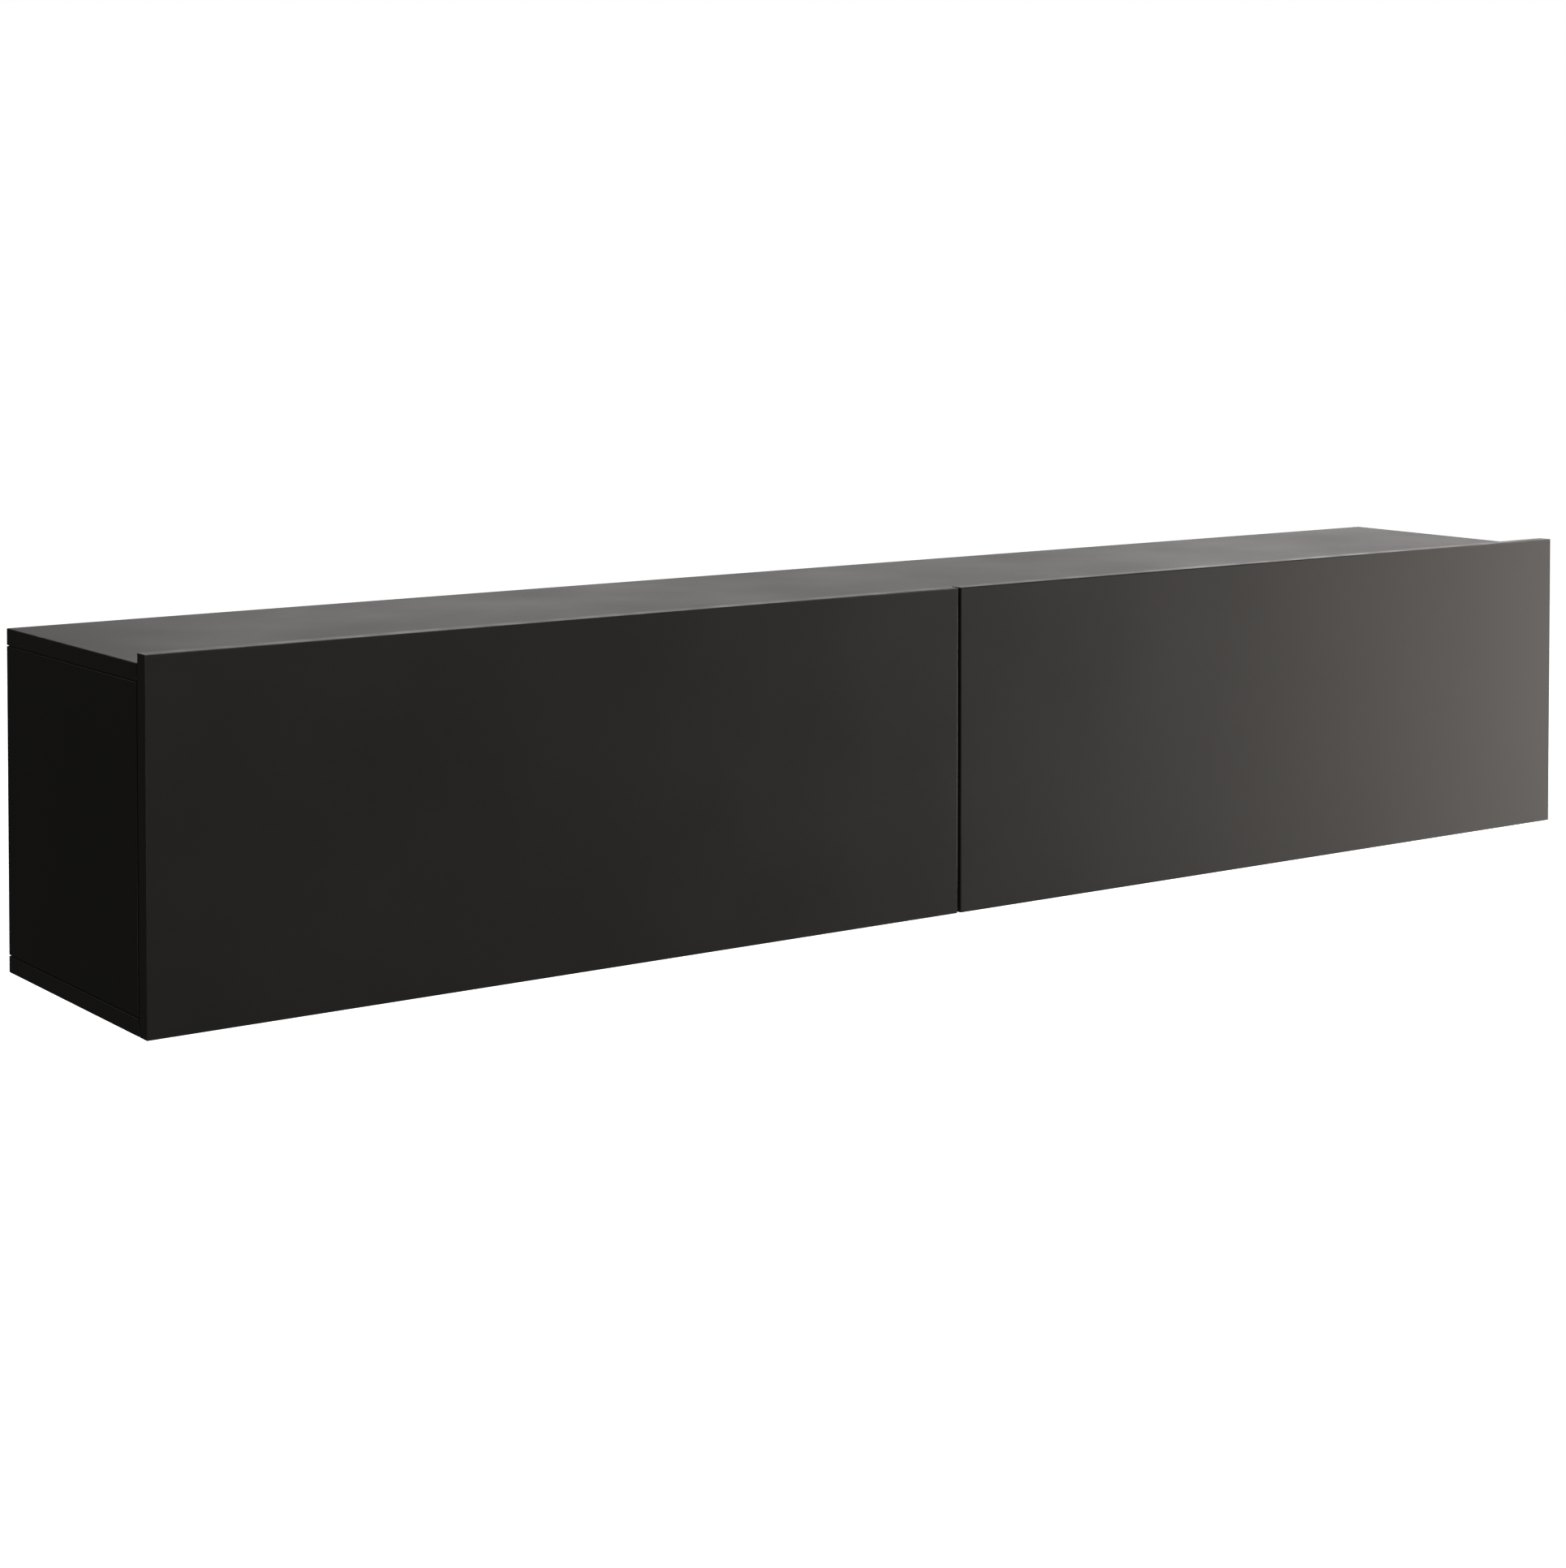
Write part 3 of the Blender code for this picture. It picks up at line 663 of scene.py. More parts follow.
def cutSeam(sheet, axis, flat, seam, low, high):
    # three cuts across the board, the middle one pressed in on both faces
    look = boardLook
    normal = [0, 0, 0]
    normal[axis] = 1
    for shift in (-0.5, 0, 0.5):
        point = [0, 0, 0]
        point[axis] = seam + shift * look["seamWidth"]
        everything = sheet.verts[:] + sheet.edges[:] + sheet.faces[:]
        bmesh.ops.bisect_plane(sheet, geom=everything, plane_co=point, plane_no=normal, dist=joinGap / 10)
    for vert in sheet.verts:
        if abs(vert.co[axis] - seam) < joinGap:
            if abs(vert.co[flat] - low[flat]) < joinGap:
                vert.co[flat] += look["seamDepth"]
            elif abs(vert.co[flat] - high[flat]) < joinGap:
                vert.co[flat] -= look["seamDepth"]


def board(name, node, flat, banded):
    # flat is the axis across the board; banded lists the axes whose two edges carry a band
    look = boardLook
    low, high = (corner.copy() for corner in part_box(node))
    if flat == 0:
        low.y += look["setBack"]
        low.z += look["buttGap"]
        high.z -= look["buttGap"]
    sheet = blockSheet(low, high, look["rounding"], look["roundingSteps"])
    for axis in banded:
        cutSeam(sheet, axis, flat, low[axis] + look["bandThick"], low, high)
        cutSeam(sheet, axis, flat, high[axis] - look["bandThick"], low, high)
    for face in sheet.faces:
        middle = face.calc_center_median()
        for slot, axis in enumerate(banded, 1):
            if min(middle[axis] - low[axis], high[axis] - middle[axis]) < look["bandThick"]:
                face.material_index = slot
    bands = ["edgeAlong" + "XYZ"[bandAlong[flat][axis]] for axis in banded]
    return newPiece(name, sheet, "laminate", *bands, "core")


def addTongues(piece, node, outer):
    # loose tongues along both ends make the shadow line a groove, and not a slit
    look = boardLook
    low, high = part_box(node)
    face = high.x if outer > 0 else low.x
    start, end = sorted(face - outer * depth for depth in look["tongue"])
    front, rear = low.y + look["tongueInset"], high.y - look["tongueInset"]
    tongues = []
    for bottom in (low.z, high.z - look["tongueGrip"]):
        top = bottom + look["tongueGrip"]
        tongues.append(block("tongue", (start, front, bottom), (end, rear, top), "laminate"))
    attach(piece, *tongues)


def coreCutter(shape, piece):
    # what a cutter leaves shows the piece's last finish, its core
    slots = piece.data.materials[:]
    shape.data.materials.clear()
    for material in slots:
        shape.data.materials.append(material)
    for face in shape.data.polygons:
        face.material_index = len(slots) - 1
    return shape


def grooveCutters(piece, panels):
    slack = Vector((1, 1, 1)) * boardLook["grooveSlack"]
    cutters = []
    for side in panels:
        low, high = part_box("back_panel_" + side)
        cutters.append(coreCutter(block("groove", low - slack, high + slack, "core"), piece))
    return cutters


def boreCutters(piece, node, names, axis, radius, steps):
    # round bores for the named nodes, open to the side of the board that each node reaches
    look = boardLook
    cutters = []
    boardLow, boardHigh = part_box(node)
    for name in names:
        low, high, middle = ends(name)
        if axis == 1:
            middle.z = low.z + radius
        start, end = low[axis] - look["boreSlack"], high[axis] + look["boreSlack"]
        if high[axis] > boardHigh[axis] - look["openNear"]:
            end = boardHigh[axis] + look["throughCut"]
        else:
            start = boardLow[axis] - look["throughCut"]
        middle[axis] = start
        toward = [0, 0, 0]
        toward[axis] = 1
        bore = rod("bore", radius + look["boreSlack"], middle, toward, end - start, "core", steps)
        cutters.append(coreCutter(bore, piece))
    return cutters


corners = ("front_low", "front_high", "rear_low", "rear_high")
boards = (
    # piece, node, flat axis, banded axes, back panels let in, group of cams
    ("topBoard", "top_panel", 2, (0, 1), ("left", "right"), None),
    ("bottomBoard", "bottom_panel", 2, (0, 1), ("left", "right"), None),
    ("leftSideBoard", "side_panel_left", 0, (1,), ("left",), "left"),
    ("rightSideBoard", "side_panel_right", 0, (1,), ("right",), "right"),
    ("centreBoard", "centre_partition", 0, (1,), ("left", "right"), "middle"),
)


def makeCarcass():
    for name, node, flat, banded, panels, cams in boards:
        piece = board(name, node, flat, banded)
        cutters = grooveCutters(piece, panels)
        if cams:
            places = [f"cam_{cams}_{corner}" for corner in corners]
            cutters += boreCutters(piece, node, places, 0, camLook["radius"], boardLook["boreSteps"])
        cut(piece, *cutters)
        if cams in sides:
            addTongues(piece, node, sides[cams])
        settle(piece, "root", "laminate", node)


flapLook = {
    "boreSteps": 64,           # sides of the bores for the hinge cups
}


def makeFlaps():
    radius, steps = hingeLook["cupRadius"], flapLook["boreSteps"]
    for side in sides:
        node = "flap_" + side
        piece = board(side + "FlapBoard", node, 1, (0, 2))
        cups = [f"hinge_cup_{side}_{label}" for label in "ab"]
        cut(piece, *boreCutters(piece, node, cups, 1, radius, steps))
        settle(piece, "flap_" + side, "laminate", node)


backLook = {
    "rounding": 0.0002,
    "outletRadius": 0.030,
    "outletRise": 0.0608,      # outlet's centre above the panel's lower edge
    "outletSteps": 64,
    "notch": (0.0232, 0.0227),  # of the upper corners, for the hangers
}


def makeBackPanels():
    look = backLook
    for side in sides:
        node = "back_panel_" + side
        low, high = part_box(node)
        piece = block(side + "BackPanel", low, high, "coat", look["rounding"], 1)
        piece.data.materials.append(finishes["fibre"])
        for face in piece.data.polygons:
            if face.normal.y > -0.5:
                face.material_index = 1
        centres = [ends(f"hanger_{side}_{end}")[2].x for end in ("outer", "inner")]
        depth = high.y - low.y
        place = (sum(centres) / 2, low.y - depth, low.z + look["outletRise"])
        radius, steps = look["outletRadius"], look["outletSteps"]
        cutters = [rod("outlet", radius, place, alongY, 3 * depth, "fibre", steps)]
        wide, tall = look["notch"]
        for end in (low.x, high.x):
            near = (end - wide, low.y - depth, high.z - tall)
            cutters.append(block("notch", near, (end + wide, high.y + depth, high.z + tall), "fibre"))
        for cutter in cutters:
            coreCutter(cutter, piece)
        cut(piece, *cutters)
        settle(piece, "root", "hardboard", node)


clearCut = 0.002               # how far a cutter stands out of what it cuts
screwSizes = {
    "Head Radius": 0.0039,
    "Head Height": 0.0013,
    "Recess Reach": 0.0022,    # from the middle to the end of an arm of the cross
    "Recess Width": 0.0009,
    "Recess Depth": 0.0009,
    "Shank Radius": 0.0019,
    "Shank Length": 0.0035,
}
screwShape = {
    "segments": 24,            # of the domed head
    "rings": 11,
    "shankSides": 16,
    "shankRise": 0.2,          # of the shank's end into the head, in head heights
    "secondArm": 0.97,         # depth of one arm of the cross against the other
}


def makeScrewTree():
    # one cross-head screw at each point, its head facing along the attribute named aim
    tree = bpy.data.node_groups.new("crossHeadScrews", "GeometryNodeTree")
    sockets = tree.interface
    sockets.new_socket("Places", in_out="INPUT", socket_type="NodeSocketGeometry")
    for name, value in screwSizes.items():
        sockets.new_socket(name, in_out="INPUT", socket_type="NodeSocketFloat").default_value = value
    sockets.new_socket("Seed", in_out="INPUT", socket_type="NodeSocketInt").default_value = 7
    sockets.new_socket("Finish", in_out="INPUT", socket_type="NodeSocketMaterial")
    sockets.new_socket("Screws", in_out="OUTPUT", socket_type="NodeSocketGeometry")
    given = addNode(tree, "NodeGroupInput").outputs

    def vector(x=0.0, y=0.0, z=0.0):
        return addNode(tree, "ShaderNodeCombineXYZ", {"X": x, "Y": y, "Z": z}).outputs[0]

    def times(value, factor):
        return calculate(tree, "MULTIPLY", value, factor)

    def moved(shape, **inputs):
        return addNode(tree, "GeometryNodeTransform", {"Geometry": shape, **inputs}).outputs[0]

    def box(x, y, z, rise):
        cube = addNode(tree, "GeometryNodeMeshCube", {"Size": vector(x, y, z)}).outputs[0]
        return moved(cube, Translation=vector(z=rise))

    def solid(operation, first, *others):
        node = addNode(tree, "GeometryNodeMeshBoolean", operation=operation, solver="EXACT")
        if operation == "DIFFERENCE":
            tree.links.new(first, node.inputs["Mesh 1"])
        else:
            others = (first, *others)
        for shape in others:
            tree.links.new(shape, node.inputs["Mesh 2"])
        return node.outputs["Mesh"]

    radius, height = given["Head Radius"], given["Head Height"]
    ball = addNode(tree, "GeometryNodeMeshUVSphere", {
        "Segments": screwShape["segments"],
        "Rings": screwShape["rings"],
        "Radius": 1.0,
    })
    dome = moved(ball.outputs[0], Scale=vector(radius, radius, height))
    upper = box(times(radius, 4), times(radius, 4), times(height, 4), times(height, 2))
    head = solid("INTERSECT", dome, upper)
    length = given["Shank Length"]
    stem = addNode(tree, "GeometryNodeMeshCylinder", {
        "Vertices": screwShape["shankSides"],
        "Radius": given["Shank Radius"],
        "Depth": length,
    })
    sunk = calculate(tree, "SUBTRACT", times(height, screwShape["shankRise"]), times(length, 0.5))
    shank = moved(stem.outputs[0], Translation=vector(z=sunk))
    reach, width = times(given["Recess Reach"], 2), given["Recess Width"]
    deep = times(given["Recess Depth"], 2)
    firstArm = box(reach, width, deep, height)
    secondArm = box(width, reach, times(deep, screwShape["secondArm"]), height)
    cross = solid("UNION", firstArm, secondArm)
    screw = solid("DIFFERENCE", solid("UNION", head, shank), cross)

    aim = addNode(tree, "GeometryNodeInputNamedAttribute", {"Name": "aim"}, data_type="FLOAT_VECTOR")
    facing = addNode(tree, "FunctionNodeAlignRotationToVector", {"Vector": aim.outputs[0]}, axis="Z")
    chance = addNode(tree, "FunctionNodeRandomValue", data_type="FLOAT")
    chance.inputs[3].default_value = math.pi / 2
    tree.links.new(given["Seed"], chance.inputs["Seed"])
    spun = addNode(tree, "FunctionNodeAxisAngleToRotation", {
        "Axis": alongZ,
        "Angle": chance.outputs[1],
    })
    turn = addNode(tree, "FunctionNodeRotateRotation", {
        "Rotation": facing.outputs[0],
        "Rotate By": spun.outputs[0],
    }, rotation_space="LOCAL")
    copies = addNode(tree, "GeometryNodeInstanceOnPoints", {
        "Points": given["Places"],
        "Instance": screw,
        "Rotation": turn.outputs[0],
    })
    real = addNode(tree, "GeometryNodeRealizeInstances", {"Geometry": copies.outputs[0]})
    coated = addNode(tree, "GeometryNodeSetMaterial", {
        "Geometry": real.outputs[0],
        "Material": given["Finish"],
    })
    addNode(tree, "NodeGroupOutput", {"Screws": coated.outputs[0]})
    return tree


screwTree = makeScrewTree()


def screws(name, places, finish="zinc", **changes):
    mesh = bpy.data.meshes.new(name)
    mesh.from_pydata([tuple(place) for place, aim in places], [], [])
    attribute = mesh.attributes.new("aim", "FLOAT_VECTOR", "POINT")
    for item, (place, aim) in zip(attribute.data, places):
        item.vector = aim
    piece = bpy.data.objects.new(name, mesh)
    bpy.context.scene.collection.objects.link(piece)
    change = piece.modifiers.new("screws", "NODES")
    change.node_group = screwTree
    wanted = {**changes, "finish": finishes[finish]}
    for socket in screwTree.interface.items_tree:
        key = socket.name[0].lower() + socket.name[1:].replace(" ", "")
        if socket.in_out == "INPUT" and key in wanted:
            change[socket.identifier] = wanted[key]
    bake(piece)
    return piece


def fixScrews(name, places, body="root", **changes):
    settle(screws(name, places, **changes), body, "zinc")


holeLook = {
    "radius": 0.0021,
    "length": 0.008,
    "steps": 16,
}


def screwHole(place, toward):
    # a cutter for a clearance hole through a plate that starts at place
    start = place - Vector(toward) * clearCut
    return rod("hole", holeLook["radius"], start, toward, holeLook["length"], "zinc", holeLook["steps"])


hingeLook = {
    "cupRadius": 0.0172,
    "cupWall": 0.0013,
    "cupCorner": 0.0016,
    "cornerCut": 0.3,          # of the corner, where its chamfer breaks
    "cupSill": 0.0001,         # the cup's rim below the flange's face
    "cupDimple": (0.0064, 0.0060, 0.0006),   # radii of its foot and top, and its height
    "ring": 0.0184,            # radius of the flange round the cup
    "ringSunk": 0.00006,       # of its two faces, below the flange's
    "roundSteps": 56,
    "flangeThick": 0.0011,
    "flangeTall": 0.024,
    "flangeEnd": 0.48,         # rounding of its ends, of its height
    "easing": 0.0003,
    "screwFromEnd": 0.0064,
    "linkBow": 0.004,
    "linkHalf": 0.0017,
    "linkLane": (0.0046, 0.0062),
    "linkEasing": 0.0002,
    "eye": 0.0024,
    "eyeProud": 0.0002,
    "pin": 0.0013,
    "noseRadius": 0.0030,
    "neckHalf": 0.0042,
    "neckEasing": 0.0004,
    "neckOverlap": 0.004,      # into the wide part of the arm
    "neckBends": (0.003, 0.002),   # its lower and upper bend, before the wide part
    "neckRoots": (0.8, 1.3),   # its lower and upper edge inside the wide part, in nose radii
    "bodyStart": 0.02065,      # from the nose to the wide part of the arm
    "bodyRounding": 0.0014,
    "bodySteps": 3,
    "adjuster": (0.0100, 0.0034),   # from the wide part's front end; radius of its pocket
    "clamp": (0.0130, 0.0037, 0.004),  # from the rear end; half width and half length of its slot
    "pocketDepth": 0.0012,
    "pocketSteps": 28,
    "fold": (0.0022, 0.0046),  # heights of the folded channel's step along each side
    "foldDeep": 0.0006,
    "foldInset": 0.006,
    "wingThick": 0.0018,
    "wingDeep": 0.018,
    "wingEnd": 0.45,           # rounding of the wings' ends, of their depth
    "wingRow": 0.037,          # screws behind the bottom panel's front edge
    "blockInset": 0.0003,
    "blockRounding": 0.0007,
    "plateSpread": 0.032,
}


def makeHingeCup(side, label, screwPlaces):
    look = hingeLook
    node = f"hinge_cup_{side}_{label}"
    low, high, middle = ends(node)
    radius, wall, corner = look["cupRadius"], look["cupWall"], look["cupCorner"]
    part, steps = corner * look["cornerCut"], look["roundSteps"]
    depth = high.y - low.y - look["cupSill"]
    inner = radius - wall
    foot, top, rise = look["cupDimple"]
    centre = Vector((middle.x, low.y, low.z + radius))
    cup = turned("cup", [
        (0, 0), (radius - corner, 0), (radius - part, part), (radius, corner),
        (radius, depth), (inner, depth), (inner, wall + corner),
        (inner - part, wall + part), (inner - corner, wall),
        (foot, wall), (top, wall + rise), (0, wall + rise),
    ], centre, alongY, "nickel", steps)
    face = high.y - look["flangeThick"]
    tall = look["flangeTall"]
    outline = roundedRectangle((low.x, high.z - tall), (high.x, high.z), tall * look["flangeEnd"], 8)
    piece = plate(side + "HingeCup" + label.upper(), outline, 1, (face, high.y), "nickel", look["easing"])
    sunk = look["ringSunk"]
    start = (centre.x, face + sunk, centre.z)
    fuse(piece, rod("ring", look["ring"], start, alongY, high.y - face - 2 * sunk, "nickel", steps))
    start = (centre.x, face - clearCut, centre.z)
    holes = [rod("hollow", radius - wall / 2, start, alongY, 3 * clearCut, "nickel", steps)]
    for end, sign in ((low.x, 1), (high.x, -1)):
        place = Vector((end + sign * look["screwFromEnd"], face, high.z - tall / 2))
        screwPlaces.append((place + Vector((0, high.y - face, 0)), alongY))
        holes.append(screwHole(place, alongY))
    cut(piece, *holes)
    attach(piece, cup)
    settle(piece, "flap_" + side, "nickel", node)


def curvedBar(first, last, bow, half, steps=8):
    # outline of a bar bent along an arc, with round ends
    first, last = Vector(first), Vector(last)
    chord = last - first
    across = Vector((-chord.y, chord.x)).normalized()
    radius = (chord.length ** 2 / 4 + bow ** 2) / (2 * bow)
    hub = (first + last) / 2 - across * (radius - bow)
    start = math.degrees(math.atan2(first.y - hub.y, first.x - hub.x))
    stop = math.degrees(math.atan2(last.y - hub.y, last.x - hub.x))
    sweep = (stop - start + 180) % 360 - 180
    stop = start + sweep
    way = math.copysign(180, sweep)
    outline = arc(hub, radius + half, start, stop, steps)
    outline += arc(last, half, stop, stop + way, steps)[1:-1]
    outline += arc(hub, radius - half, stop, start, steps)
    outline += arc(first, half, start + way, start + 2 * way, steps)[1:-1]
    return outline


def linkPivot(side, label):
    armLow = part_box(f"hinge_arm_{side}_{label}")[0]
    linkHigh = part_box(f"hinge_link_{side}_{label}")[1]
    return armLow.y + hingeLook["noseRadius"], linkHigh.z - hingeLook["eye"]


def pinned(name, radius, x, place, length, easing, steps=20):
    # a pin along X with eased ends
    profile = [
        (0, 0), (radius - easing, 0), (radius, easing),
        (radius, length - easing), (radius - easing, length), (0, length),
    ]
    return turned(name, profile, (x, *place), alongX, "nickel", steps)


def makeHingeLink(side, label):
    look = hingeLook
    node = f"hinge_link_{side}_{label}"
    low, high, middle = ends(node)
    pin = joints[f"hinge_links_{side}_turn"].yz
    pivot = linkPivot(side, label)
    name = side + "HingeLink" + label.upper()
    piece = pinned(name, look["pin"], low.x, pin, high.x - low.x, look["easing"])
    outline = curvedBar(pin, pivot, look["linkBow"], look["linkHalf"])
    near, far = look["linkLane"]
    proud, easing = look["eyeProud"], look["linkEasing"]
    shapes = []
    for sign in (-1, 1):
        lane = sorted((middle.x + sign * near, middle.x + sign * far))
        shapes.append(plate("link", outline, 0, lane, "nickel", easing))
        for place in (pin, pivot):
            length = far - near + 2 * proud
            shapes.append(pinned("eye", look["eye"], lane[0] - proud, place, length, easing))
    attach(piece, *shapes)
    settle(piece, "hinge_links_" + side, "nickel", node)


def makeHingeArm(side, label, adjusters):
    look = hingeLook
    node = f"hinge_arm_{side}_{label}"
    low, high, middle = ends(node)
    noseY, noseZ = linkPivot(side, label)
    radius, half = look["noseRadius"], look["neckHalf"]
    front = low.y + look["bodyStart"]
    inside = front + look["neckOverlap"]
    lowerBend, upperBend = look["neckBends"]
    lowerRoot, upperRoot = look["neckRoots"]
    neck = arc((noseY, noseZ), radius, 90, 270) + [
        (front - lowerBend, noseZ - radius), (inside, noseZ - radius * lowerRoot),
        (inside, noseZ + radius * upperRoot), (front - upperBend, noseZ + radius),
    ]
    name = side + "HingeArm" + label.upper()
    piece = plate(name, neck, 0, (middle.x - half, middle.x + half), "nickel", look["neckEasing"])
    rounding, steps = look["bodyRounding"], look["bodySteps"]
    fuse(piece, block("body", (low.x, front, low.z), high, "nickel", rounding, steps))
    top, sink = high.z, look["pocketDepth"]
    reach, pocket = look["adjuster"]
    first = Vector((middle.x, front + reach, top - sink))
    back, wide, long = look["clamp"]
    last = Vector((middle.x, high.y - back, top - sink))
    outline = roundBar((last.x, last.y - long), (last.x, last.y + long), wide)
    cutters = [
        plate("slot", outline, 2, (top - sink, top + clearCut), "nickel"),
        rod("pocket", pocket, first, alongZ, sink + clearCut, "nickel", look["pocketSteps"]),
    ]
    inset = look["foldInset"]
    under, over = look["fold"]
    for edge, sign in ((low.x, -1), (high.x, 1)):
        inner, outer = sorted((edge - sign * look["foldDeep"], edge + sign * clearCut))
        near = (inner, front + inset, low.z + under)
        cutters.append(block("fold", near, (outer, high.y - inset, low.z + over), "nickel"))
    cut(piece, *cutters)
    adjusters += [(first, alongZ), (last, alongZ)]
    settle(piece, "root", "nickel", node)


def makeHingePlate(side, label, screwPlaces):
    look = hingeLook
    node = f"hinge_plate_{side}_{label}"
    low, high, middle = ends(node)
    armLow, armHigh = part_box(f"hinge_arm_{side}_{label}")
    wingTop = low.z + look["wingThick"]
    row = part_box("bottom_panel")[0].y + look["wingRow"]
    half = look["wingDeep"] / 2
    rounding = look["wingDeep"] * look["wingEnd"]
    outline = roundedRectangle((low.x, row - half), (high.x, row + half), rounding, 8)
    piece = plate(side + "HingePlate" + label.upper(), outline, 2, (low.z, wingTop), "zinc", look["easing"])
    inset = look["blockInset"]
    near, far = (armLow.x + inset, low.y, low.z), (armHigh.x - inset, high.y, high.z)
    fuse(piece, block("block", near, far, "zinc", look["blockRounding"]))
    holes = []
    for sign in (-1, 1):
        place = Vector((middle.x + sign * look["plateSpread"] / 2, row, low.z))
        holes.append(screwHole(place, alongZ))
        screwPlaces.append((Vector((place.x, place.y, wingTop)), alongZ))
    cut(piece, *holes)
    settle(piece, "root", "zinc", node)


def makeHinges():
    plateScrews, adjusters = [], []
    for side in sides:
        flangeScrews = []
        for label in "ab":
            makeHingeCup(side, label, flangeScrews)
            makeHingeLink(side, label)
            makeHingeArm(side, label, adjusters)
            makeHingePlate(side, label, plateScrews)
        fixScrews(side + "FlangeScrews", flangeScrews, "flap_" + side, headHeight=0.0009, seed=3)
    fixScrews("hingePlateScrews", plateScrews, seed=5)
    fixScrews("hingeAdjusters", adjusters, headRadius=0.0031, headHeight=0.0010, seed=9)


stayLook = {
    "bracketLane": 0.0003,     # the layers' distances from the side board
    "sideArmLane": 0.0031,
    "flapArmLane": 0.0059,
    "earLane": 0.0087,
    "thick": 0.0025,
    "gap": 0.0003,
    "half": 0.006,             # half the arms' width
    "easing": 0.0004,
    "pin": 0.0025,
    "eye": 0.0028,
    "eyeReach": 0.03,          # further from the side board than any layer
    "head": 0.0045,
    "headThick": 0.0010,
    "headDome": ((1, 0), (1, 0.35), (0.84, 0.75), (0.5, 1)),   # in radii and thicknesses
    "headSteps": 28,
    "fluteHalf": 0.0021,       # stiffening flute along each arm
    "fluteDeep": 0.0005,
    "fluteFromPin": 0.013,
    "bracketHalf": 0.011,
    "bracketScrews": (0.0176, 0.028),  # behind the side pin
    "footWide": 0.026,
    "footTall": 0.030,
    "footThick": 0.0020,
    "footRounding": 0.004,
    "footEasing": 0.0003,
    "footScrew": 0.6,          # of the foot's width, from the ear
}


def layer(sign, wall, near, far):
    return sorted((wall - sign * near, wall - sign * far))


def rivetHead(sign, wall, near, place, facing=1):
    # a domed head, flat at near; facing is 1 into the compartment and -1 to the side board
    look = stayLook
    radius, thick = look["head"], look["headThick"]
    profile = [(0, 0)] + [(radius * out, thick * up) for out, up in look["headDome"]] + [(0, thick)]
    toward = (-sign * facing, 0, 0)
    return turned("head", profile, (wall - sign * near, *place), toward, "nickel", look["headSteps"])


def acrossStay(name, radius, sign, wall, near, far, place):
    start, end = layer(sign, wall, near, far)
    return rod(name, radius, (start, *place), alongX, end - start, "nickel")


def stayPin(sign, wall, near, far, place):
    return acrossStay("pin", stayLook["pin"], sign, wall, near, far, place)


def eyeHole(sign, wall, place, radius=stayLook["eye"]):
    return acrossStay("eye", radius, sign, wall, -clearCut, stayLook["eyeReach"], place)


def stayBar(name, sign, wall, lane, outline):
    look = stayLook
    at = look[lane]
    span = layer(sign, wall, at, at + look["thick"])
    return plate(name, outline, 0, span, "nickel", look["easing"]), at


def fluteCutter(sign, wall, at, first, last):
    # pressed into the arm's face that looks into the compartment
    look = stayLook
    near = at + look["thick"]
    along = (last - first).normalized() * look["fluteFromPin"]
    span = layer(sign, wall, near - look["fluteDeep"], near + clearCut)
    return plate("flute", roundBar(first + along, last - along, look["fluteHalf"]), 0, span, "nickel")


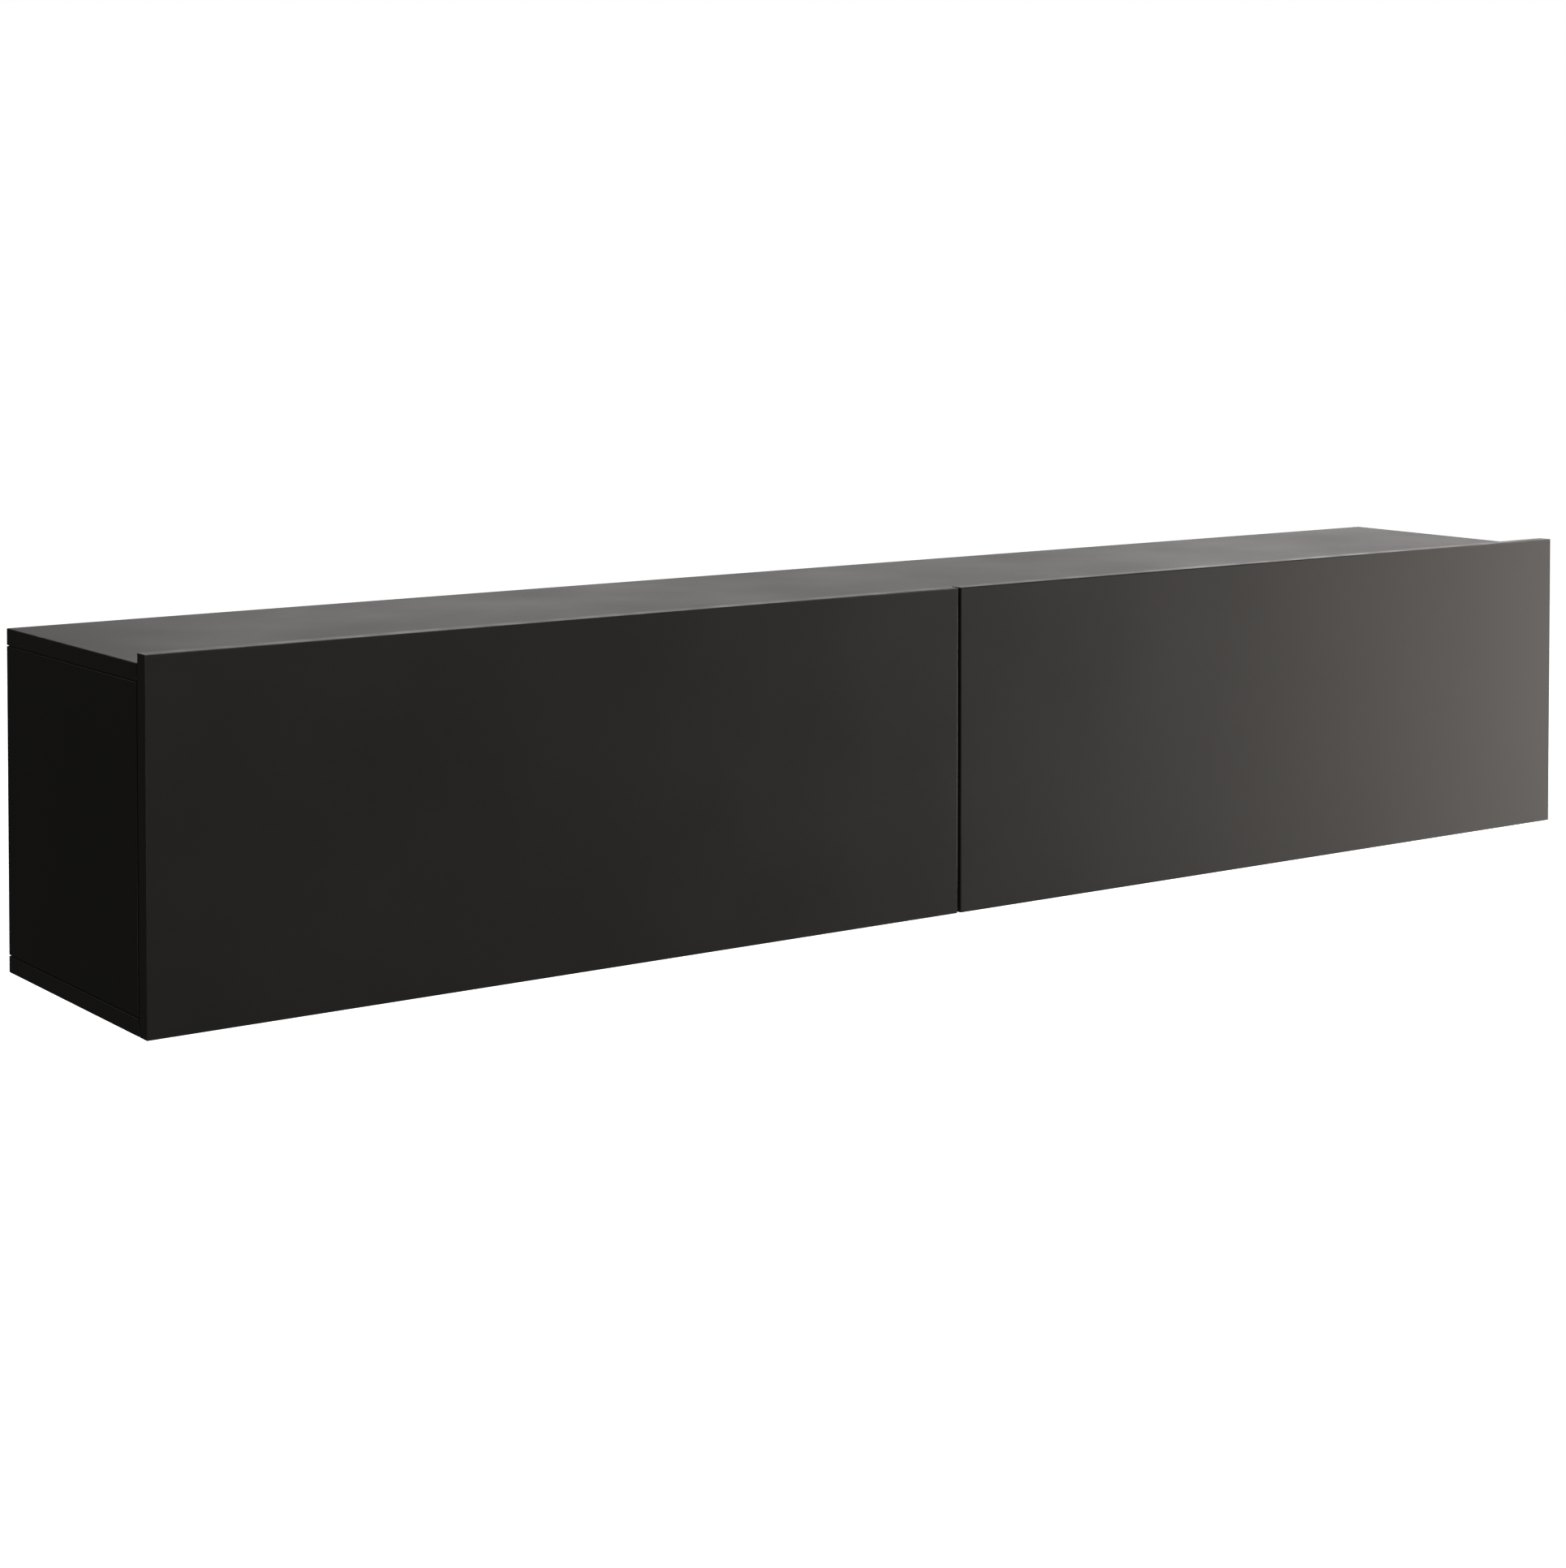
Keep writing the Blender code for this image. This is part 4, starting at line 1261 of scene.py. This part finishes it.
def makeStay(side, sign, flapScrews, sideScrews):
    look = stayLook
    half, middle, sunk = look["half"], look["thick"] / 2, look["headThick"] / 2
    sideLow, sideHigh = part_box("side_panel_" + side)
    wall = sideHigh.x if sign < 0 else sideLow.x
    axis = joints[f"flap_{side}_swing"].yz
    sidePin = joints[f"stay_side_arm_{side}_turn"].yz
    flapPin = joints[f"stay_flap_arm_{side}_turn"].yz
    knee = sidePin + flapPin - axis

    tail = sidePin + Vector((look["bracketScrews"][1], 0))
    outline = roundBar(sidePin, tail, look["bracketHalf"])
    piece, at = stayBar(side + "StayBracket", sign, wall, "bracketLane", outline)
    holes = []
    for back in look["bracketScrews"]:
        place = sidePin + Vector((back, 0))
        holes.append(eyeHole(sign, wall, place, holeLook["radius"]))
        sideScrews.append((Vector((wall - sign * (at + look["thick"]), *place)), (-sign, 0, 0)))
    cut(piece, *holes)
    end = look["flapArmLane"]
    head = rivetHead(sign, wall, end, sidePin)
    attach(piece, stayPin(sign, wall, at + middle, end + sunk, sidePin), head)
    settle(piece, "root", "nickel", "stay_side_bracket_" + side)

    outline = roundBar(sidePin, knee, half)
    piece, at = stayBar(side + "StaySideArm", sign, wall, "sideArmLane", outline)
    cut(piece, eyeHole(sign, wall, sidePin), fluteCutter(sign, wall, at, sidePin, knee))
    end = look["earLane"]
    head = rivetHead(sign, wall, end, knee)
    attach(piece, stayPin(sign, wall, at + middle, end + sunk, knee), head)
    settle(piece, "stay_side_arm_" + side, "nickel", "stay_side_arm_" + side)

    outline = roundBar(flapPin, knee, half)
    piece, at = stayBar(side + "StayFlapArm", sign, wall, "flapArmLane", outline)
    eyes = [eyeHole(sign, wall, place) for place in (flapPin, knee)]
    cut(piece, *eyes, fluteCutter(sign, wall, at, flapPin, knee))
    settle(piece, "stay_flap_arm_" + side, "nickel", "stay_flap_arm_" + side)

    node = "stay_flap_bracket_" + side
    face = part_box(node)[0].y
    root = face + look["footThick"] / 2
    outline = [(root, flapPin.y + half), (root, flapPin.y - half)] + arc(flapPin, half, -90, 90, 10)
    piece, at = stayBar(side + "StayFoot", sign, wall, "earLane", outline)
    start, end = layer(sign, wall, at, at + look["footWide"])
    rise = look["footTall"] / 2
    low, high = (start, flapPin.y - rise), (end, flapPin.y + rise)
    outline = roundedRectangle(low, high, look["footRounding"])
    foot = plate("foot", outline, 1, (face, face + look["footThick"]), "nickel", look["footEasing"])
    across = wall - sign * (at + look["footWide"] * look["footScrew"])
    holes = []
    for step in (-0.5, 0.5):
        place = Vector((across, face, flapPin.y + step * rise))
        holes.append(screwHole(place, alongY))
        flapScrews.append((place + Vector((0, look["footThick"], 0)), alongY))
    cut(foot, *holes)
    end = look["flapArmLane"] - look["gap"]
    head = rivetHead(sign, wall, end, flapPin, -1)
    attach(piece, foot, stayPin(sign, wall, at + middle, end - sunk, flapPin), head)
    settle(piece, "flap_" + side, "nickel", node)


def makeStays():
    sideScrews = []
    for side, sign in sides.items():
        flapScrews = []
        makeStay(side, sign, flapScrews, sideScrews)
        fixScrews(side + "StayFootScrews", flapScrews, "flap_" + side, headHeight=0.0010, seed=11)
    fixScrews("stayBracketScrews", sideScrews, seed=13)


hangerLook = {
    "tabDeep": 0.012,          # screw tab on the upright, in front of the housing
    "tabThick": 0.0022,
    "tabInset": 0.004,         # below and above, and into the housing
    "tabRounding": 0.003,
    "tabScrews": 0.016,        # up and down from the middle
    "easing": 0.0003,
    "rounding": 0.0014,
    "roundingSteps": 3,
    "adjusters": (0.013, -0.009),
    "pocket": 0.0042,
    "pocketDeep": 0.0015,
    "pocketSteps": 28,
    "hookWide": 0.010,
    "hookThick": 0.0026,
    "hookBend": 0.0008,
    "hookRoot": 0.010,         # inside the housing
    "hookTip": 0.007,
    "gap": 0.0003,
}


def makeHanger(side, end, inward, tabScrews, adjusters):
    look = hangerLook
    node = f"hanger_{side}_{end}"
    low, high, middle = ends(node)
    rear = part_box("back_panel_" + side)[0].y - look["gap"]
    front = low.y + look["tabDeep"]
    start, name = (low.x, front, low.z), f"{side}Hanger{end.title()}"
    piece = block(name, start, (high.x, rear, high.z), "zinc", look["rounding"], look["roundingSteps"])
    near = low.x if inward > 0 else high.x
    face = near + inward * look["tabThick"]
    inset = look["tabInset"]
    outline = roundedRectangle((low.y, low.z + inset), (front + inset, high.z - inset), look["tabRounding"])
    tab = plate("tab", outline, 0, sorted((near, face)), "zinc", look["easing"])
    half = look["hookThick"] / 2
    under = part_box("wall_rail_" + side)[1].z + look["gap"]
    behind = high.y - half
    path = [
        (rear - look["hookRoot"], under + half),
        (behind, under + half),
        (behind, under - look["hookTip"]),
    ]
    outline = foldedStrip(path, look["hookThick"], look["hookBend"])
    wide = look["hookWide"] / 2
    hook = plate("hook", outline, 0, (middle.x - wide, middle.x + wide), "zinc", look["easing"])
    toward, length = (0, -1, 0), look["pocketDeep"] + clearCut
    cutters = []
    for rise in look["adjusters"]:
        place = Vector((middle.x, front + look["pocketDeep"], middle.z + rise))
        adjusters.append((place, toward))
        cutters.append(rod("pocket", look["pocket"], place, toward, length, "zinc", look["pocketSteps"]))
    for rise in (-look["tabScrews"], look["tabScrews"]):
        place = Vector((face, low.y + look["tabDeep"] / 2, middle.z + rise))
        tabScrews.append((place, (inward, 0, 0)))
    cut(piece, *cutters)
    attach(piece, tab, hook)
    settle(piece, "root", "zinc", node)


def makeHangers():
    tabScrews, adjusters = [], []
    for side, sign in sides.items():
        makeHanger(side, "outer", -sign, tabScrews, adjusters)
        makeHanger(side, "inner", sign, tabScrews, adjusters)
    fixScrews("hangerScrews", tabScrews, headRadius=0.0042, seed=17)
    fixScrews("hangerAdjusters", adjusters, headRadius=0.0037, headHeight=0.0011, seed=19)


railLook = {
    "thick": 0.0020,
    "bend": 0.0008,
    "easing": 0.0002,
    "lower": 0.021,            # height of the part that lies on the wall
    "offset": 0.0065,          # of the lip from the wall
    "holes": 4,
    "holeRadius": 0.0044,
    "holeSteps": 28,
}


def makeRails():
    look = railLook
    for side in sides:
        node = "wall_rail_" + side
        low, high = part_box(node)
        thick = look["thick"]
        wallFace = high.y - thick / 2
        step = low.z + look["lower"] - thick / 2
        lip = wallFace - look["offset"]
        path = [(wallFace, low.z), (wallFace, step), (lip, step), (lip, high.z)]
        outline = foldedStrip(path, thick, look["bend"])
        piece = plate(side + "WallRail", outline, 0, (low.x, high.x), "zinc", look["easing"])
        start, rise = high.y - thick - clearCut, low.z + look["lower"] / 2
        length = thick + 2 * clearCut
        holes = []
        for i in range(look["holes"]):
            x = low.x + (high.x - low.x) * (i + 0.5) / look["holes"]
            place = (x, start, rise)
            holes.append(rod("hole", look["holeRadius"], place, alongY, length, "zinc", look["holeSteps"]))
        cut(piece, *holes)
        settle(piece, "root", "zinc", node)


camLook = {
    "radius": 0.0072,
    "headHeight": 0.0004,
    "endGap": 0.0006,          # between the cam and the depth of its bore
    "recessReach": 0.7,        # of the radius
    "recessWidth": 0.0016,
    "recessDepth": 0.0035,
    "shank": 0.995,            # of the radius
}


def makeCams():
    look = camLook
    places, names = [], []
    for group, toward in (("left", 1), ("middle", -1), ("right", -1)):
        for corner in corners:
            name = f"cam_{group}_{corner}"
            low, high, middle = ends(name)
            face = high.x if toward > 0 else low.x
            place = Vector((face - toward * look["headHeight"], middle.y, middle.z))
            places.append((place, (toward, 0, 0)))
            names.append(name)
    low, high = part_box(names[0])
    radius = look["radius"]
    piece = screws(
        "camFittings",
        places,
        "castZinc",
        headRadius=radius,
        headHeight=look["headHeight"],
        recessReach=radius * look["recessReach"],
        recessWidth=look["recessWidth"],
        recessDepth=look["recessDepth"],
        shankRadius=radius * look["shank"],
        shankLength=high.x - low.x - look["endGap"],
        seed=23,
    )
    settle(piece, "root", "zinc", *names)


bumpLook = {
    "skirt": 0.3,              # of the stop's thickness, below its dome
    "domeAngles": (20, 40, 60, 75),
    "steps": 32,
}


def makeBumpStops():
    look = bumpLook
    for side in sides:
        for end in ("outer", "inner"):
            node = f"bump_stop_{side}_{end}"
            low, high, middle = ends(node)
            radius, thick = (high.x - low.x) / 2, high.y - low.y
            skirt = thick * look["skirt"]
            profile = [(0, 0), (radius, 0), (radius, skirt)]
            for angle in look["domeAngles"]:
                lean = math.radians(angle)
                profile.append((radius * math.cos(lean), skirt + (thick - skirt) * math.sin(lean)))
            profile.append((0, thick))
            place, name = (middle.x, high.y, middle.z), f"{side}BumpStop{end.title()}"
            piece = turned(name, profile, place, (0, -1, 0), "rubber", look["steps"])
            settle(piece, "root", "rubber", node)


makeCarcass()
makeFlaps()
makeBackPanels()
print("boards and back panels made")
makeHinges()
makeStays()
print("hinges and stays made")
makeHangers()
makeRails()
makeCams()
makeBumpStops()
print("hangers, rails, cams and bump stops made")
